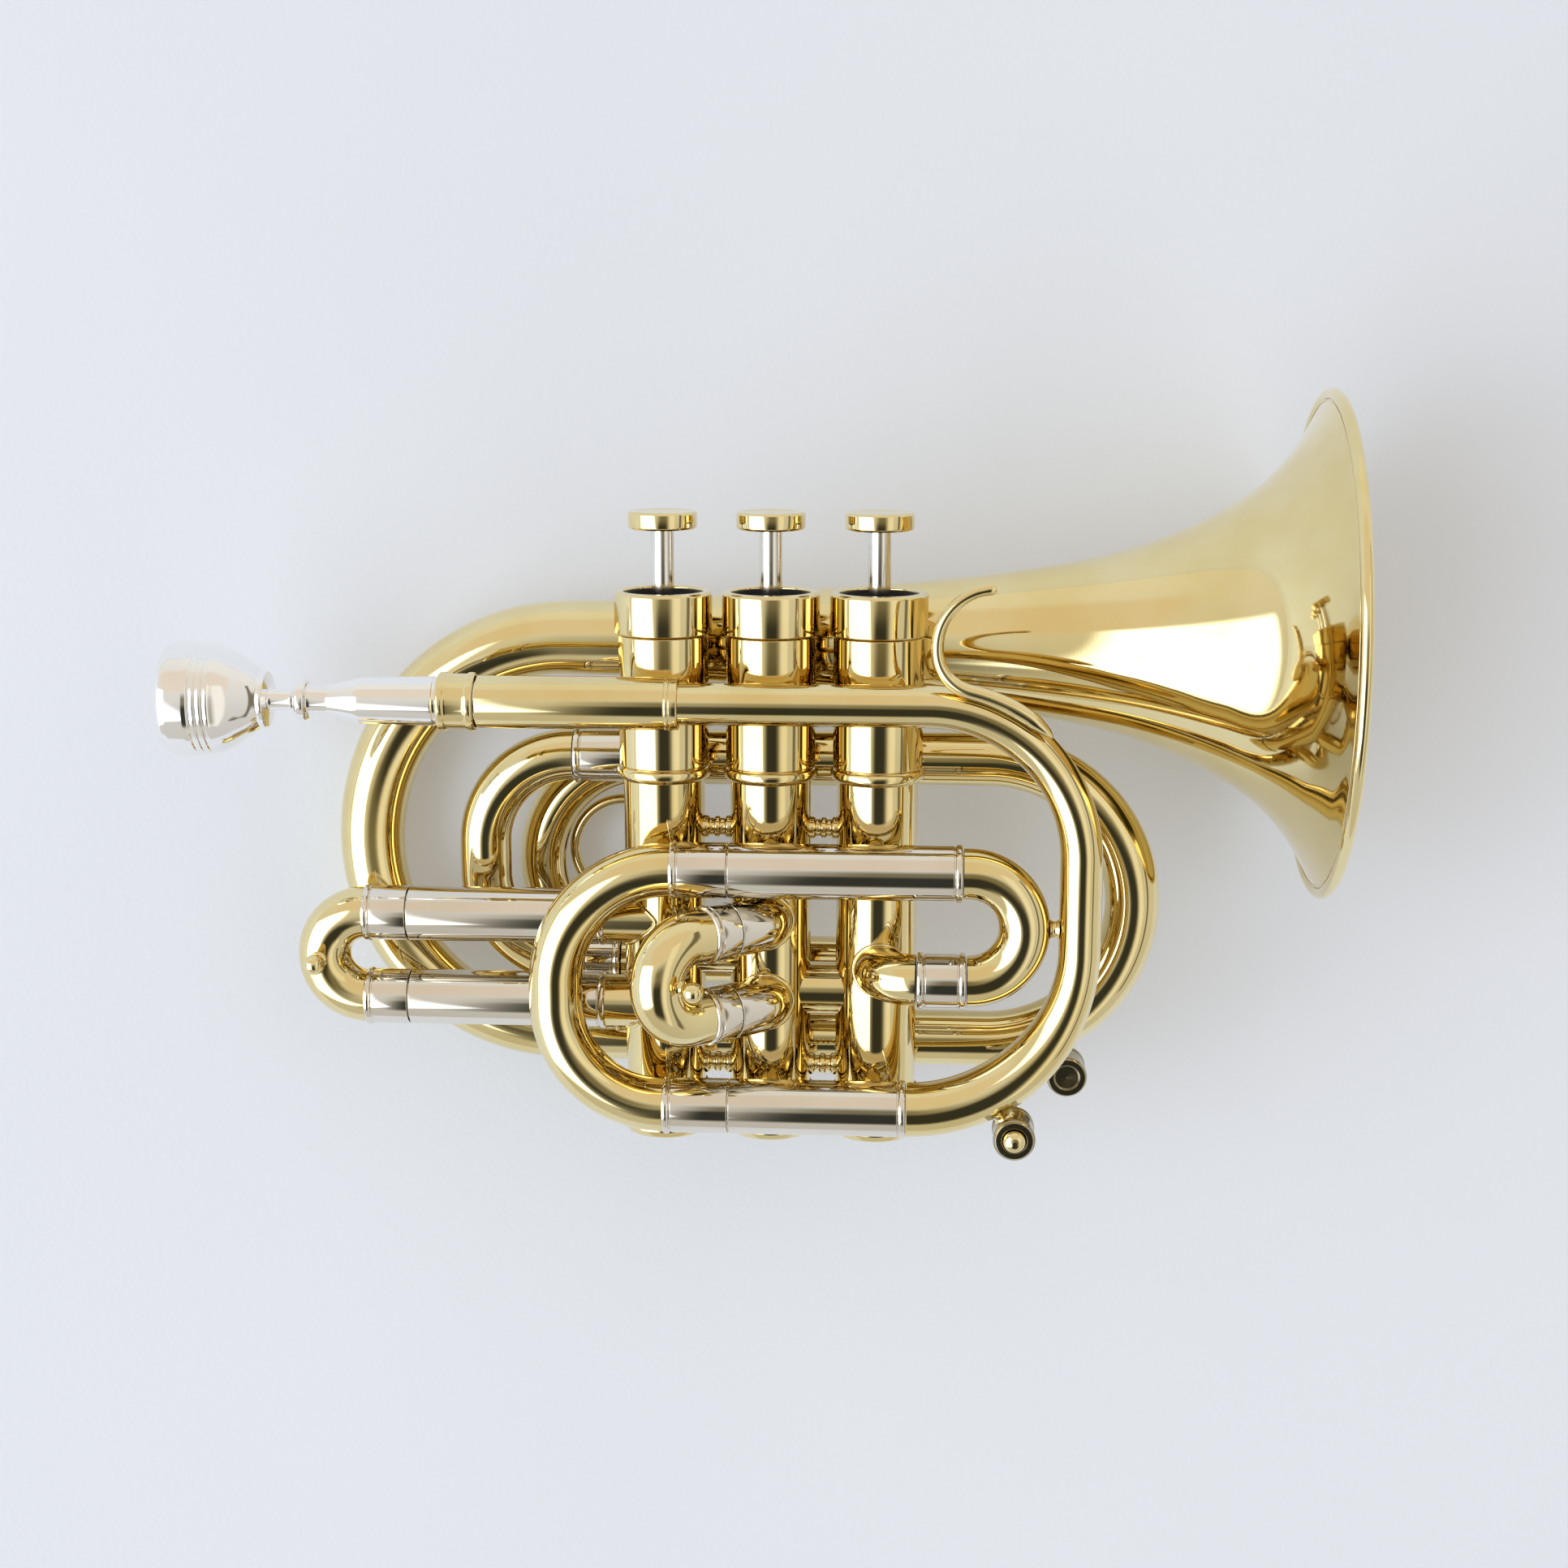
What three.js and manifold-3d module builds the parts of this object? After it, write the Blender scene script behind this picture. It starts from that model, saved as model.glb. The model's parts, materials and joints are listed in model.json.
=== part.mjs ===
// A pocket trumpet: three piston valves, a leadpipe wound round them and a full-size bell.
// The instrument is modelled with +X from the mouthpiece towards the bell, +Y up the valves and +Z
// from the far side to the near side. At the end it is laid down on its bell rim, its third slide
// and its tail bow, the way it rests on a table.
import * as THREE from 'three';
import { mergeVertices } from 'three/addons/utils/BufferGeometryUtils.js';
import Module from 'manifold-3d';

const wasm = await Module();
wasm.setup();

// Directions along the instrument
const TO_BELL = new THREE.Vector3(1, 0, 0);
const TO_PLAYER = new THREE.Vector3(-1, 0, 0);
const UP_VALVE = new THREE.Vector3(0, 1, 0);
const DOWN_VALVE = new THREE.Vector3(0, -1, 0);
const NEAR = new THREE.Vector3(0, 0, 1);
const FAR = new THREE.Vector3(0, 0, -1);

// Counts that set how finely round shapes are cut; a bend's sides are those of its full circle
const TUBE_SIDES = 12;
const VALVE_SIDES = 16;
const BELL_SIDES = 24;
const PORT_SIDES = 8;
const ROD_SIDES = 8;
const BEND_SIDES = 12;
const WIDE_BEND_SIDES = 16;
const KNOB_SIDES = 12;
const LEVELLING_ROUNDS_COUNT = 12;
const FULL_TURN_ANGLE = 2 * Math.PI;
const QUARTER_ANGLE = Math.PI / 2;

// Clearances, all in millimetres as every length here
const JOINT_GAP = 0.3;
const CUT_OVERRUN = 2;

// Valve section
const VALVE_PITCH = 25;
const VALVE_TRAVEL = 17;
const CASING_RADIUS = 9.5;
const CASING_UPPER_RADIUS = 10.45;
const CASING_BORE_RADIUS = 8.5;
const CASING_BALUSTER_HEIGHT = 86.2;
const CASING_BEAD_PROUD = 0.45;
const CASING_BEAD_WIDTH = 1.6;
const CASING_SHOULDER_HEIGHT = 120;
const CAP_THREAD_RADIUS = 9.6;
const CAP_THREAD_LENGTH = 2.7;
const TOP_CAP_RADIUS = 11.35;
const TOP_CAP_HEIGHT = 9.8;
const TOP_CAP_WALL = 2.4;
const TOP_CAP_WEB = 1.7;
const TOP_CAP_CHAMFER = 0.5;
const BOTTOM_CAP_RADIUS = 10.4;
const BOTTOM_CAP_HEIGHT = 12;
const BOTTOM_CAP_FLOOR = 2.5;
const BOTTOM_CAP_ROUND = 1.8;
const BOTTOM_CAP_VENT_RADIUS = 2;
const PISTON_RADIUS = 8.2;
const PISTON_FOOT_HEIGHT = 20;
const PISTON_SKIRT_DEPTH = 5.5;
const PISTON_WALL = 1.3;
const PISTON_PORTED_TOP = 80;
const PISTON_PLATE = 1.8;
const PASSAGE_RADIUS = 3.9;
const PORT_RADIUS = 5.2;
const STEM_RADIUS = 2.7;
const STEM_LENGTH = 21;
const STEM_SPIGOT_RADIUS = 1.5;
const STEM_SPIGOT_LENGTH = 2.6;
const BUTTON_RADIUS = 8.05;
const BUTTON_THICKNESS = 4.2;
const BUTTON_EDGE = 0.6;
const SPRING_RADIUS = 6.1;
const SPRING_WIRE = 1.1;
const BRACE_LOWER_HEIGHT = 16.7;
const BRACE_BELOW_BALUSTER = 11.8;
const BRACE_COLLAR_RADIUS = 2.6;
const BRACE_BARREL_RADIUS = 2;
const BRACE_COLLAR_WIDTH = 1.1;
const KNUCKLE_RADIUS = 6.2;
const KNUCKLE_23_HEIGHT = 35.5;
const KNUCKLE_12_HEIGHT = 45;

// Tubing
const TUBE_RADIUS = 6.2;
const TUBE_BORE_RADIUS = 5.5;
const OUTER_SLIDE_RADIUS = 6.4;
const OUTER_SLIDE_WALL = 0.5;
const INNER_SLIDE_WALL = 0.5;
const FERRULE_BEAD_PROUD = 0.35;
const FERRULE_BEAD_WIDTH = 1.2;

// Front plane: mouthpiece, leadpipe and tuning slide
const FRONT_PLANE = 17.2;
const LEADPIPE_BELOW_SHOULDER = 13.7;
const LEADPIPE_HEIGHT = CASING_SHOULDER_HEIGHT - LEADPIPE_BELOW_SHOULDER;
const LEADPIPE_RADIUS = 4.85;
const LEADPIPE_END_RADIUS = 6.3;
const LEADPIPE_WALL = 0.6;
const LEADPIPE_START = -51.4;
const LEADPIPE_TOP_BEND = 35.2;
const LEADPIPE_DROP = 20.7;
const LEADPIPE_GROWTH_SHARE = 0.7;
const LEADPIPE_RIGHT = 71.8;
const SLEEVE_RADIUS = 6;
const SLEEVE_START = -65.6;
const SLEEVE_END = -19.8;
const SLEEVE_RING_PROUD = 0.35;
const RECEIVER_RADIUS = 6.7;
const RECEIVER_START = -74.6;
const RECEIVER_LIP = 0.6;
const RECEIVER_GROOVE = 0.35;
const RECEIVER_LAND_SHARE = 0.2;

const TUNING_UPPER_HEIGHT = 67.8;
const TUNING_LOWER_HEIGHT = 11.4;
const LEADPIPE_LOWER_BEND = LEADPIPE_HEIGHT - LEADPIPE_DROP - LEADPIPE_TOP_BEND - TUNING_LOWER_HEIGHT;
const TUNING_SEAM = -8.8;
const TUNING_UPPER_BEAD = -21.9;
const TUNING_LOWER_BEAD = -23.9;
const TUNING_UPPER_END = 44.9;
const TUNING_UPPER_BEND = 27;
const TUNING_LOWER_BEND = 24.7;
const TUNING_INSERT = 28;
const ENTRY_HEIGHT = 42.6;
const ENTRY_FERRULE_START = 34.8;
const ENTRY_FERRULE_END = 46;
const ENTRY_BOW_RADIUS = 5.9;
const ENTRY_BOW_LEAD = 1.4;
const ENTRY_ELBOW_BEND = 8.5;

// First slide, on the left of valve 1
const FIRST_PLANE = 3.1;
const FIRST_UPPER_HEIGHT = 53;
const FIRST_LOWER_HEIGHT = 32.5;
const FIRST_SLIDE_RADIUS = 6.5;
const FIRST_SEAM = -85.8;
const FIRST_BEAD = -96.2;
const FIRST_INSERT = 34;
const FIRST_ROOT_RING = -39.9;

// Second slide, on the front of valve 2, turned towards the player
const SECOND_ANGLE = THREE.MathUtils.degToRad(48);
const SECOND_UPPER_HEIGHT = 53.9;
const SECOND_LOWER_HEIGHT = 34.5;
const SECOND_PORT_OFFSET = -0.75;
const SECOND_ELBOW_START = 8;
const SECOND_ELBOW_BEND = 7;
const SECOND_SOCKET = 7.6;
const SECOND_FERRULE = 7.1;
const SECOND_BOW_LEAD = 3;
const SECOND_INSERT = 5;

// Third slide, on the far side of valve 3
const THIRD_PLANE = -31;
const THIRD_RADIUS = 6;
const THIRD_UPPER_HEIGHT = 84.4;
const THIRD_LOWER_HEIGHT = 33.8;
const THIRD_BEAD = -33.6;
const THIRD_SEAM = -22;
const THIRD_INSERT = 28;
const THIRD_DROP_BEND = 9;
const THIRD_DROP_RUN = 9.4;
const THIRD_RING_RADIUS = 13.8;
const THIRD_RING_THICKNESS = 2.4;
const THIRD_RING_SET_BACK = 2;
const THIRD_RING_ANGLE = THREE.MathUtils.degToRad(155.3);

// Back plane: the way out of valve 1, round the valves and into the bell
const BACK_PLANE = -17.6;
const EXIT_HEIGHT = 36.5;
const EXIT_ELBOW_BEND = 9;
const EXIT_FERRULE_START = -47.8;
const EXIT_FERRULE_END = -37.6;
const EXIT_RISE = 7.7;
const EXIT_LEFT = -70.9;
const UPPER_RUN_BELOW_BELL = 27.4;
const UPPER_FERRULE_START = -48.5;
const UPPER_FERRULE_END = -36.5;
const LOOP_CENTRE = 51.6;
const LOOP_END_RADIUS = 6.95;
const LOWER_RUN_HEIGHT = 18.4;
const TAIL_END = -51;
const TAIL_BEND = 48.5;
const BELL_HEIGHT = LOWER_RUN_HEIGHT + 2 * TAIL_BEND;
const UPPER_RUN_HEIGHT = BELL_HEIGHT - UPPER_RUN_BELOW_BELL;
const EXIT_BEND = (UPPER_RUN_HEIGHT - EXIT_HEIGHT - EXIT_RISE) / 2;
const TAIL_START_RADIUS = 7;
const TAIL_END_RADIUS = 9.5;
const TAIL_WALL = 0.9;

// Bell
const BELL_PLANE = -25.2;
const BELL_RIM_RADIUS = 61.2;
const BELL_RIM_PLACE = 130.8;
const BELL_WALL = 1;
const BELL_BEAD_RADIUS = 1.25;
const BELL_JOINT = -37;

// Mouthpiece
const MOUTHPIECE_RIM_PLACE = -137;
const MOUTHPIECE_RIM_RADIUS = 13.1;
const MOUTHPIECE_INSERT_END = -52;
const MOUTHPIECE_CUP_RADIUS = 8.4;
const MOUTHPIECE_THROAT_RADIUS = 1.9;
const MOUTHPIECE_BACKBORE_RADIUS = 3.9;
const MOUTHPIECE_THROAT_SHARES = [0.2, 0.3];
const SHANK_MOUTH_SHARE = 0.435;

// Fittings
const HOOK_ROD_RADIUS = 1.5;
const HOOK_LEAN_ANGLE = THREE.MathUtils.degToRad(40);
const HOOK_FOOT_ANGLE = THREE.MathUtils.degToRad(46.5);
const HOOK_SWEEP_ANGLE = THREE.MathUtils.degToRad(30);
const HOOK_NECK_BEND = 9.9;
const HOOK_NECK_RUN = 0.6;
const HOOK_CROOK_BEND = 12.9;
const KNOB_BALL_RADIUS = 2.2;
const KNOB_STEM_RADIUS = 1.1;
const KNOB_STEM_LENGTH = 2.4;
const KEY_BARREL_RADIUS = 4.9;
const KEY_BARREL_LENGTH = 11;
const KEY_BARREL_FLOOR = 0.8;
const KEY_BUTTON_RADIUS = 2.6;
const KEY_BUTTON_PROUD = 2.2;
const KEY_TRAVEL = 2;
const KEY_SADDLE_RADIUS = 2.2;
const KEY_SADDLE_HEIGHT = 0.6;
const KEY_FRONT_ANGLE = THREE.MathUtils.degToRad(60.7);
const KEY_BACK_ANGLE = THREE.MathUtils.degToRad(65.1);
const KEY_DOME_SHARES = [[1, 1 / 2], [0.7, 5 / 6], [0, 1]];
const STAY_RADIUS = 2;
const STAY_BELOW_SHOULDER = 4.6;
const SOLDER_RADIUS = 1.8;

// Finishes
const finish = (colour, roughness, metalness) =>
  new THREE.MeshStandardMaterial({ color: colour, roughness, metalness });
const LACQUERED_BRASS = finish(0xd9b45a, 0.18, 1);
const NICKEL_SILVER = finish(0xd8d4cc, 0.2, 1);
const SILVER_PLATE = finish(0xeef0f2, 0.12, 1);
const STEEL = finish(0xb9bcc0, 0.25, 1);
const DARK_STEEL = finish(0x55504a, 0.4, 1);

// Booleans on closed meshes
function toSolid(geometry) {
  const bare = geometry.clone();
  bare.deleteAttribute('normal');
  bare.deleteAttribute('uv');
  const merged = mergeVertices(bare);
  const index = merged.index.array;
  const kept = [];
  for (let i = 0; i < index.length; i += 3) {
    const [a, b, c] = [index[i], index[i + 1], index[i + 2]];
    if (a !== b && b !== c && c !== a) kept.push(a, b, c);
  }
  return new wasm.Manifold(new wasm.Mesh({
    numProp: 3,
    vertProperties: new Float32Array(merged.attributes.position.array),
    triVerts: new Uint32Array(kept),
  }));
}

function toGeometry(solid) {
  const mesh = solid.getMesh();
  const geometry = new THREE.BufferGeometry();
  geometry.setAttribute('position', new THREE.BufferAttribute(mesh.vertProperties, 3));
  geometry.setIndex(new THREE.BufferAttribute(mesh.triVerts, 1));
  geometry.computeVertexNormals();
  return geometry;
}

function cut(geometry, ...tools) {
  let solid = toSolid(geometry);
  for (const tool of tools) solid = solid.subtract(toSolid(tool));
  return toGeometry(solid);
}

function join(geometry, ...others) {
  let solid = toSolid(geometry);
  for (const other of others) solid = solid.add(toSolid(other));
  return toGeometry(solid);
}

// The centre line of a pipe, laid the way a fitter lays it: straight runs and round bends
class PipeLine extends THREE.Curve {
  constructor(start, heading) {
    super();
    this.place = start.clone();
    this.heading = heading.clone().normalize();
    this.length = 0;
    this.stations = [];
    this.mark();
  }

  mark() {
    const station = { point: this.place.clone(), tangent: this.heading.clone(), length: this.length };
    this.stations.push(station);
  }

  straight(length) {
    this.place.addScaledVector(this.heading, length);
    this.length += length;
    this.mark();
    return this;
  }

  bend(radius, angle, towards, sides = BEND_SIDES) {
    const from = this.heading.clone();
    const centre = this.place.clone().addScaledVector(towards, radius);
    const count = Math.max(2, Math.round((angle * sides) / FULL_TURN_ANGLE));
    for (let k = 1; k <= count; k += 1) {
      const turned = (angle * k) / count;
      this.heading = from.clone().multiplyScalar(Math.cos(turned));
      this.heading.addScaledVector(towards, Math.sin(turned));
      this.place = centre.clone().addScaledVector(towards, -radius * Math.cos(turned));
      this.place.addScaledVector(from, radius * Math.sin(turned));
      this.length += (radius * angle) / count;
      this.mark();
    }
    return this;
  }

  get count() {
    return this.stations.length - 1;
  }

  getPointAt(share) {
    return this.stations[Math.round(share * this.count)].point.clone();
  }

  getTangentAt(share) {
    return this.stations[Math.round(share * this.count)].tangent.clone();
  }
}

// A ring of points round the centre, as a closed outline
function polygon(radius, sides) {
  const points = [];
  for (let k = 0; k < sides; k += 1) {
    const angle = (FULL_TURN_ANGLE * k) / sides;
    points.push(new THREE.Vector2(radius * Math.cos(angle), radius * Math.sin(angle)));
  }
  return points;
}

// A pipe of one bore along a centre line
function pipe(line, outer, bore, sides = TUBE_SIDES) {
  const wall = new THREE.Shape(polygon(outer, sides));
  if (bore > 0) wall.holes.push(new THREE.Path(polygon(bore, sides)));
  return new THREE.ExtrudeGeometry(wall, { steps: line.count, bevelEnabled: false, extrudePath: line });
}

// A pipe whose radius changes along its centre line; radiusAt takes the share of the length
function taperedPipe(line, radiusAt, wall, sides = TUBE_SIDES) {
  const frames = line.computeFrenetFrames(line.count, false);
  const positions = [];
  const index = [];
  const ring = 2 * sides;
  line.stations.forEach((station, row) => {
    const outer = radiusAt(station.length / line.length);
    for (const radius of [outer, outer - wall]) {
      for (let k = 0; k < sides; k += 1) {
        const angle = (FULL_TURN_ANGLE * k) / sides;
        const point = station.point.clone();
        point.addScaledVector(frames.normals[row], radius * Math.cos(angle));
        point.addScaledVector(frames.binormals[row], radius * Math.sin(angle));
        positions.push(point.x, point.y, point.z);
      }
    }
  });
  const quad = (a, b, c, d) => index.push(a, b, c, a, c, d);
  for (let row = 0; row < line.count; row += 1) {
    for (let k = 0; k < sides; k += 1) {
      const next = (k + 1) % sides;
      const here = row * ring;
      const ahead = here + ring;
      quad(here + k, here + next, ahead + next, ahead + k);
      quad(here + sides + next, here + sides + k, ahead + sides + k, ahead + sides + next);
    }
  }
  const last = line.count * ring;
  for (let k = 0; k < sides; k += 1) {
    const next = (k + 1) % sides;
    quad(next, k, sides + k, sides + next);
    quad(last + k, last + next, last + sides + next, last + sides + k);
  }
  const geometry = new THREE.BufferGeometry();
  geometry.setAttribute('position', new THREE.BufferAttribute(new Float32Array(positions), 3));
  geometry.setIndex(index);
  geometry.computeVertexNormals();
  return geometry;
}

// A turned piece: profile points are [radius, place along the axis], listed anticlockwise
function turned(profile, sides, axis = UP_VALVE, start = new THREE.Vector3()) {
  const points = [...profile, profile[0]].map(([radius, place]) => new THREE.Vector2(radius, place));
  const geometry = new THREE.LatheGeometry(points, sides);
  geometry.applyQuaternion(new THREE.Quaternion().setFromUnitVectors(UP_VALVE, axis));
  geometry.translate(start.x, start.y, start.z);
  return geometry;
}

// A turned piece whose profile starts and ends on its axis
function turnedSolid(profile, sides, axis = UP_VALVE, start = new THREE.Vector3()) {
  const points = profile.map(([radius, place]) => new THREE.Vector2(radius, place));
  const geometry = new THREE.LatheGeometry(points, sides);
  geometry.applyQuaternion(new THREE.Quaternion().setFromUnitVectors(UP_VALVE, axis));
  geometry.translate(start.x, start.y, start.z);
  return geometry;
}

// A straight rod between two points
function rod(from, to, radius, sides = ROD_SIDES) {
  const along = to.clone().sub(from);
  const geometry = new THREE.CylinderGeometry(radius, radius, along.length(), sides);
  geometry.applyQuaternion(new THREE.Quaternion().setFromUnitVectors(UP_VALVE, along.normalize()));
  geometry.translate((from.x + to.x) / 2, (from.y + to.y) / 2, (from.z + to.z) / 2);
  return geometry;
}

// Valves: number 1 is nearest the player
const valvePlace = (number) => (number - 2) * VALVE_PITCH;
const atValve = (number, x, y, z) => new THREE.Vector3(valvePlace(number) + x, y, z);

// The room a pipe leaves round a casing that it is soldered to
function casingRoom(number, radius = CASING_RADIUS, foot = 0, top = CASING_BALUSTER_HEIGHT) {
  const room = radius + JOINT_GAP;
  const geometry = new THREE.CylinderGeometry(room, room, top - foot, VALVE_SIDES);
  geometry.translate(valvePlace(number), (foot + top) / 2, 0);
  return geometry;
}

const fitTo = (geometry, ...numbers) => cut(geometry, ...numbers.map((number) => casingRoom(number)));

// Ports of each casing: the height, the way the port faces, and how far its axis is off the valve's
const secondFacing = new THREE.Vector3(-Math.sin(SECOND_ANGLE), 0, Math.cos(SECOND_ANGLE));
const THIRD_UPPER_PORT_HEIGHT = THIRD_UPPER_HEIGHT - 2 * THIRD_DROP_BEND - THIRD_DROP_RUN;
const ENTRY_PORT_OFFSET = ENTRY_FERRULE_START - JOINT_GAP - ENTRY_ELBOW_BEND - VALVE_PITCH;
const PORTS = {
  1: [
    { height: KNUCKLE_12_HEIGHT, facing: TO_BELL },
    { height: EXIT_HEIGHT, facing: FAR },
    { height: FIRST_UPPER_HEIGHT, facing: TO_PLAYER, offset: [0, FIRST_PLANE] },
    { height: FIRST_LOWER_HEIGHT, facing: TO_PLAYER, offset: [0, FIRST_PLANE] },
  ],
  2: [
    { height: KNUCKLE_23_HEIGHT, facing: TO_BELL },
    { height: KNUCKLE_12_HEIGHT, facing: TO_PLAYER },
    { height: SECOND_UPPER_HEIGHT, facing: NEAR, offset: [SECOND_PORT_OFFSET, 0] },
    { height: SECOND_LOWER_HEIGHT, facing: NEAR, offset: [SECOND_PORT_OFFSET, 0] },
  ],
  3: [
    { height: ENTRY_HEIGHT, facing: NEAR, offset: [ENTRY_PORT_OFFSET, 0] },
    { height: KNUCKLE_23_HEIGHT, facing: TO_PLAYER },
    { height: THIRD_UPPER_PORT_HEIGHT, facing: FAR },
    { height: THIRD_LOWER_HEIGHT, facing: FAR },
  ],
};

// Each piston has three passages: the first joins ports 0 and 1 at rest, and the others join
// port 0 to port 2 and port 3 to port 1 when the piston is down
const PASSAGES = [
  { from: 0, to: 1, pressed: false },
  { from: 0, to: 2, pressed: true },
  { from: 3, to: 1, pressed: true },
];

function portPoint(number, port, distance, lift = 0) {
  const [x, z] = port.offset ?? [0, 0];
  const point = atValve(number, x, port.height + lift, z);
  return point.addScaledVector(port.facing, distance);
}

function casing(number) {
  const bead = CASING_UPPER_RADIUS + CASING_BEAD_PROUD;
  const foot = BOTTOM_CAP_FLOOR + JOINT_GAP;
  const top = CASING_SHOULDER_HEIGHT + CAP_THREAD_LENGTH;
  const beadTop = CASING_BALUSTER_HEIGHT + CASING_BEAD_WIDTH;
  const body = turned([
    [CASING_BORE_RADIUS, foot],
    [CASING_RADIUS, foot],
    [CASING_RADIUS, CASING_BALUSTER_HEIGHT],
    [bead, CASING_BALUSTER_HEIGHT + CASING_BEAD_PROUD],
    [bead, beadTop],
    [CASING_UPPER_RADIUS, beadTop + CASING_BEAD_PROUD],
    [CASING_UPPER_RADIUS, CASING_SHOULDER_HEIGHT],
    [CAP_THREAD_RADIUS, CASING_SHOULDER_HEIGHT],
    [CAP_THREAD_RADIUS, top],
    [CASING_BORE_RADIUS, top],
  ], VALVE_SIDES, UP_VALVE, atValve(number, 0, 0, 0));
  const holes = PORTS[number].map((port) => {
    const outside = portPoint(number, port, CASING_RADIUS + CUT_OVERRUN);
    return rod(portPoint(number, port, CUT_OVERRUN), outside, PORT_RADIUS, PORT_SIDES);
  });
  return cut(body, ...holes);
}

const CAP_FOOT = CASING_SHOULDER_HEIGHT + JOINT_GAP;
const CAP_WEB_UNDERSIDE = CASING_SHOULDER_HEIGHT + CAP_THREAD_LENGTH + JOINT_GAP;
const CAP_WEB_TOP = CAP_WEB_UNDERSIDE + TOP_CAP_WEB;
const STEM_HOLE_RADIUS = STEM_RADIUS + 2 * JOINT_GAP;

function topCap(number) {
  const socket = CAP_THREAD_RADIUS + JOINT_GAP;
  const rim = CAP_FOOT + TOP_CAP_HEIGHT;
  const mouth = TOP_CAP_RADIUS - TOP_CAP_WALL;
  return turned([
    [socket, CAP_FOOT],
    [TOP_CAP_RADIUS, CAP_FOOT],
    [TOP_CAP_RADIUS, rim - TOP_CAP_CHAMFER],
    [TOP_CAP_RADIUS - TOP_CAP_CHAMFER, rim],
    [mouth + TOP_CAP_CHAMFER, rim],
    [mouth, rim - TOP_CAP_CHAMFER],
    [mouth, CAP_WEB_TOP],
    [STEM_HOLE_RADIUS, CAP_WEB_TOP],
    [STEM_HOLE_RADIUS, CAP_WEB_UNDERSIDE],
    [socket, CAP_WEB_UNDERSIDE],
  ], VALVE_SIDES, UP_VALVE, atValve(number, 0, 0, 0));
}

function bottomCap(number) {
  const socket = CASING_RADIUS + JOINT_GAP;
  return turned([
    [BOTTOM_CAP_VENT_RADIUS, 0],
    [BOTTOM_CAP_RADIUS - BOTTOM_CAP_ROUND, 0],
    [BOTTOM_CAP_RADIUS, BOTTOM_CAP_ROUND],
    [BOTTOM_CAP_RADIUS, BOTTOM_CAP_HEIGHT],
    [socket, BOTTOM_CAP_HEIGHT],
    [socket, BOTTOM_CAP_FLOOR],
    [BOTTOM_CAP_VENT_RADIUS, BOTTOM_CAP_FLOOR],
  ], VALVE_SIDES, UP_VALVE, atValve(number, 0, 0, 0));
}

const PISTON_TOP = CAP_WEB_UNDERSIDE - JOINT_GAP;
const STEM_FOOT = PISTON_TOP + JOINT_GAP;
const BUTTON_UNDERSIDE = STEM_FOOT + STEM_LENGTH + JOINT_GAP;
const SPIGOT_HOLE_RADIUS = STEM_SPIGOT_RADIUS + JOINT_GAP;
const PISTON_BLOCK_FOOT = PISTON_FOOT_HEIGHT + PISTON_SKIRT_DEPTH;

function piston(number) {
  const inside = PISTON_RADIUS - PISTON_WALL;
  const barrel = [
    [0, PISTON_BLOCK_FOOT],
    [inside, PISTON_BLOCK_FOOT],
    [inside, PISTON_FOOT_HEIGHT],
    [PISTON_RADIUS, PISTON_FOOT_HEIGHT],
    [PISTON_RADIUS, PISTON_TOP],
    [SPIGOT_HOLE_RADIUS, PISTON_TOP],
    [SPIGOT_HOLE_RADIUS, PISTON_TOP - PISTON_PLATE],
    [inside, PISTON_TOP - PISTON_PLATE],
    [inside, PISTON_PORTED_TOP],
    [0, PISTON_PORTED_TOP],
  ];
  const body = turnedSolid(barrel, TUBE_SIDES, UP_VALVE, atValve(number, 0, 0, 0));
  const passages = PASSAGES.map(({ from, to, pressed }) => {
    const lift = pressed ? VALVE_TRAVEL : 0;
    const [start, end] = [PORTS[number][from], PORTS[number][to]];
    const mouth = portPoint(number, start, PISTON_RADIUS, lift);
    const exit = portPoint(number, end, PISTON_RADIUS, lift);
    const along = exit.clone().sub(mouth).normalize();
    mouth.addScaledVector(along, -2 * CUT_OVERRUN);
    exit.addScaledVector(along, 2 * CUT_OVERRUN);
    return rod(mouth, exit, PASSAGE_RADIUS, PORT_SIDES);
  });
  return cut(body, ...passages);
}

function stem(number) {
  const foot = STEM_FOOT;
  const top = foot + STEM_LENGTH;
  return turnedSolid([
    [0, foot - STEM_SPIGOT_LENGTH],
    [STEM_SPIGOT_RADIUS, foot - STEM_SPIGOT_LENGTH],
    [STEM_SPIGOT_RADIUS, foot],
    [STEM_RADIUS, foot],
    [STEM_RADIUS, top],
    [STEM_SPIGOT_RADIUS, top],
    [STEM_SPIGOT_RADIUS, top + STEM_SPIGOT_LENGTH],
    [0, top + STEM_SPIGOT_LENGTH],
  ], ROD_SIDES, UP_VALVE, atValve(number, 0, 0, 0));
}

function button(number) {
  const foot = BUTTON_UNDERSIDE;
  const top = foot + BUTTON_THICKNESS;
  const socket = foot + STEM_SPIGOT_LENGTH;
  return turnedSolid([
    [0, socket],
    [SPIGOT_HOLE_RADIUS, socket],
    [SPIGOT_HOLE_RADIUS, foot],
    [BUTTON_RADIUS - BUTTON_EDGE, foot],
    [BUTTON_RADIUS, foot + BUTTON_EDGE],
    [BUTTON_RADIUS, top - BUTTON_EDGE],
    [BUTTON_RADIUS - BUTTON_EDGE, top],
    [0, top],
  ], VALVE_SIDES, UP_VALVE, atValve(number, 0, 0, 0));
}

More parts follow.
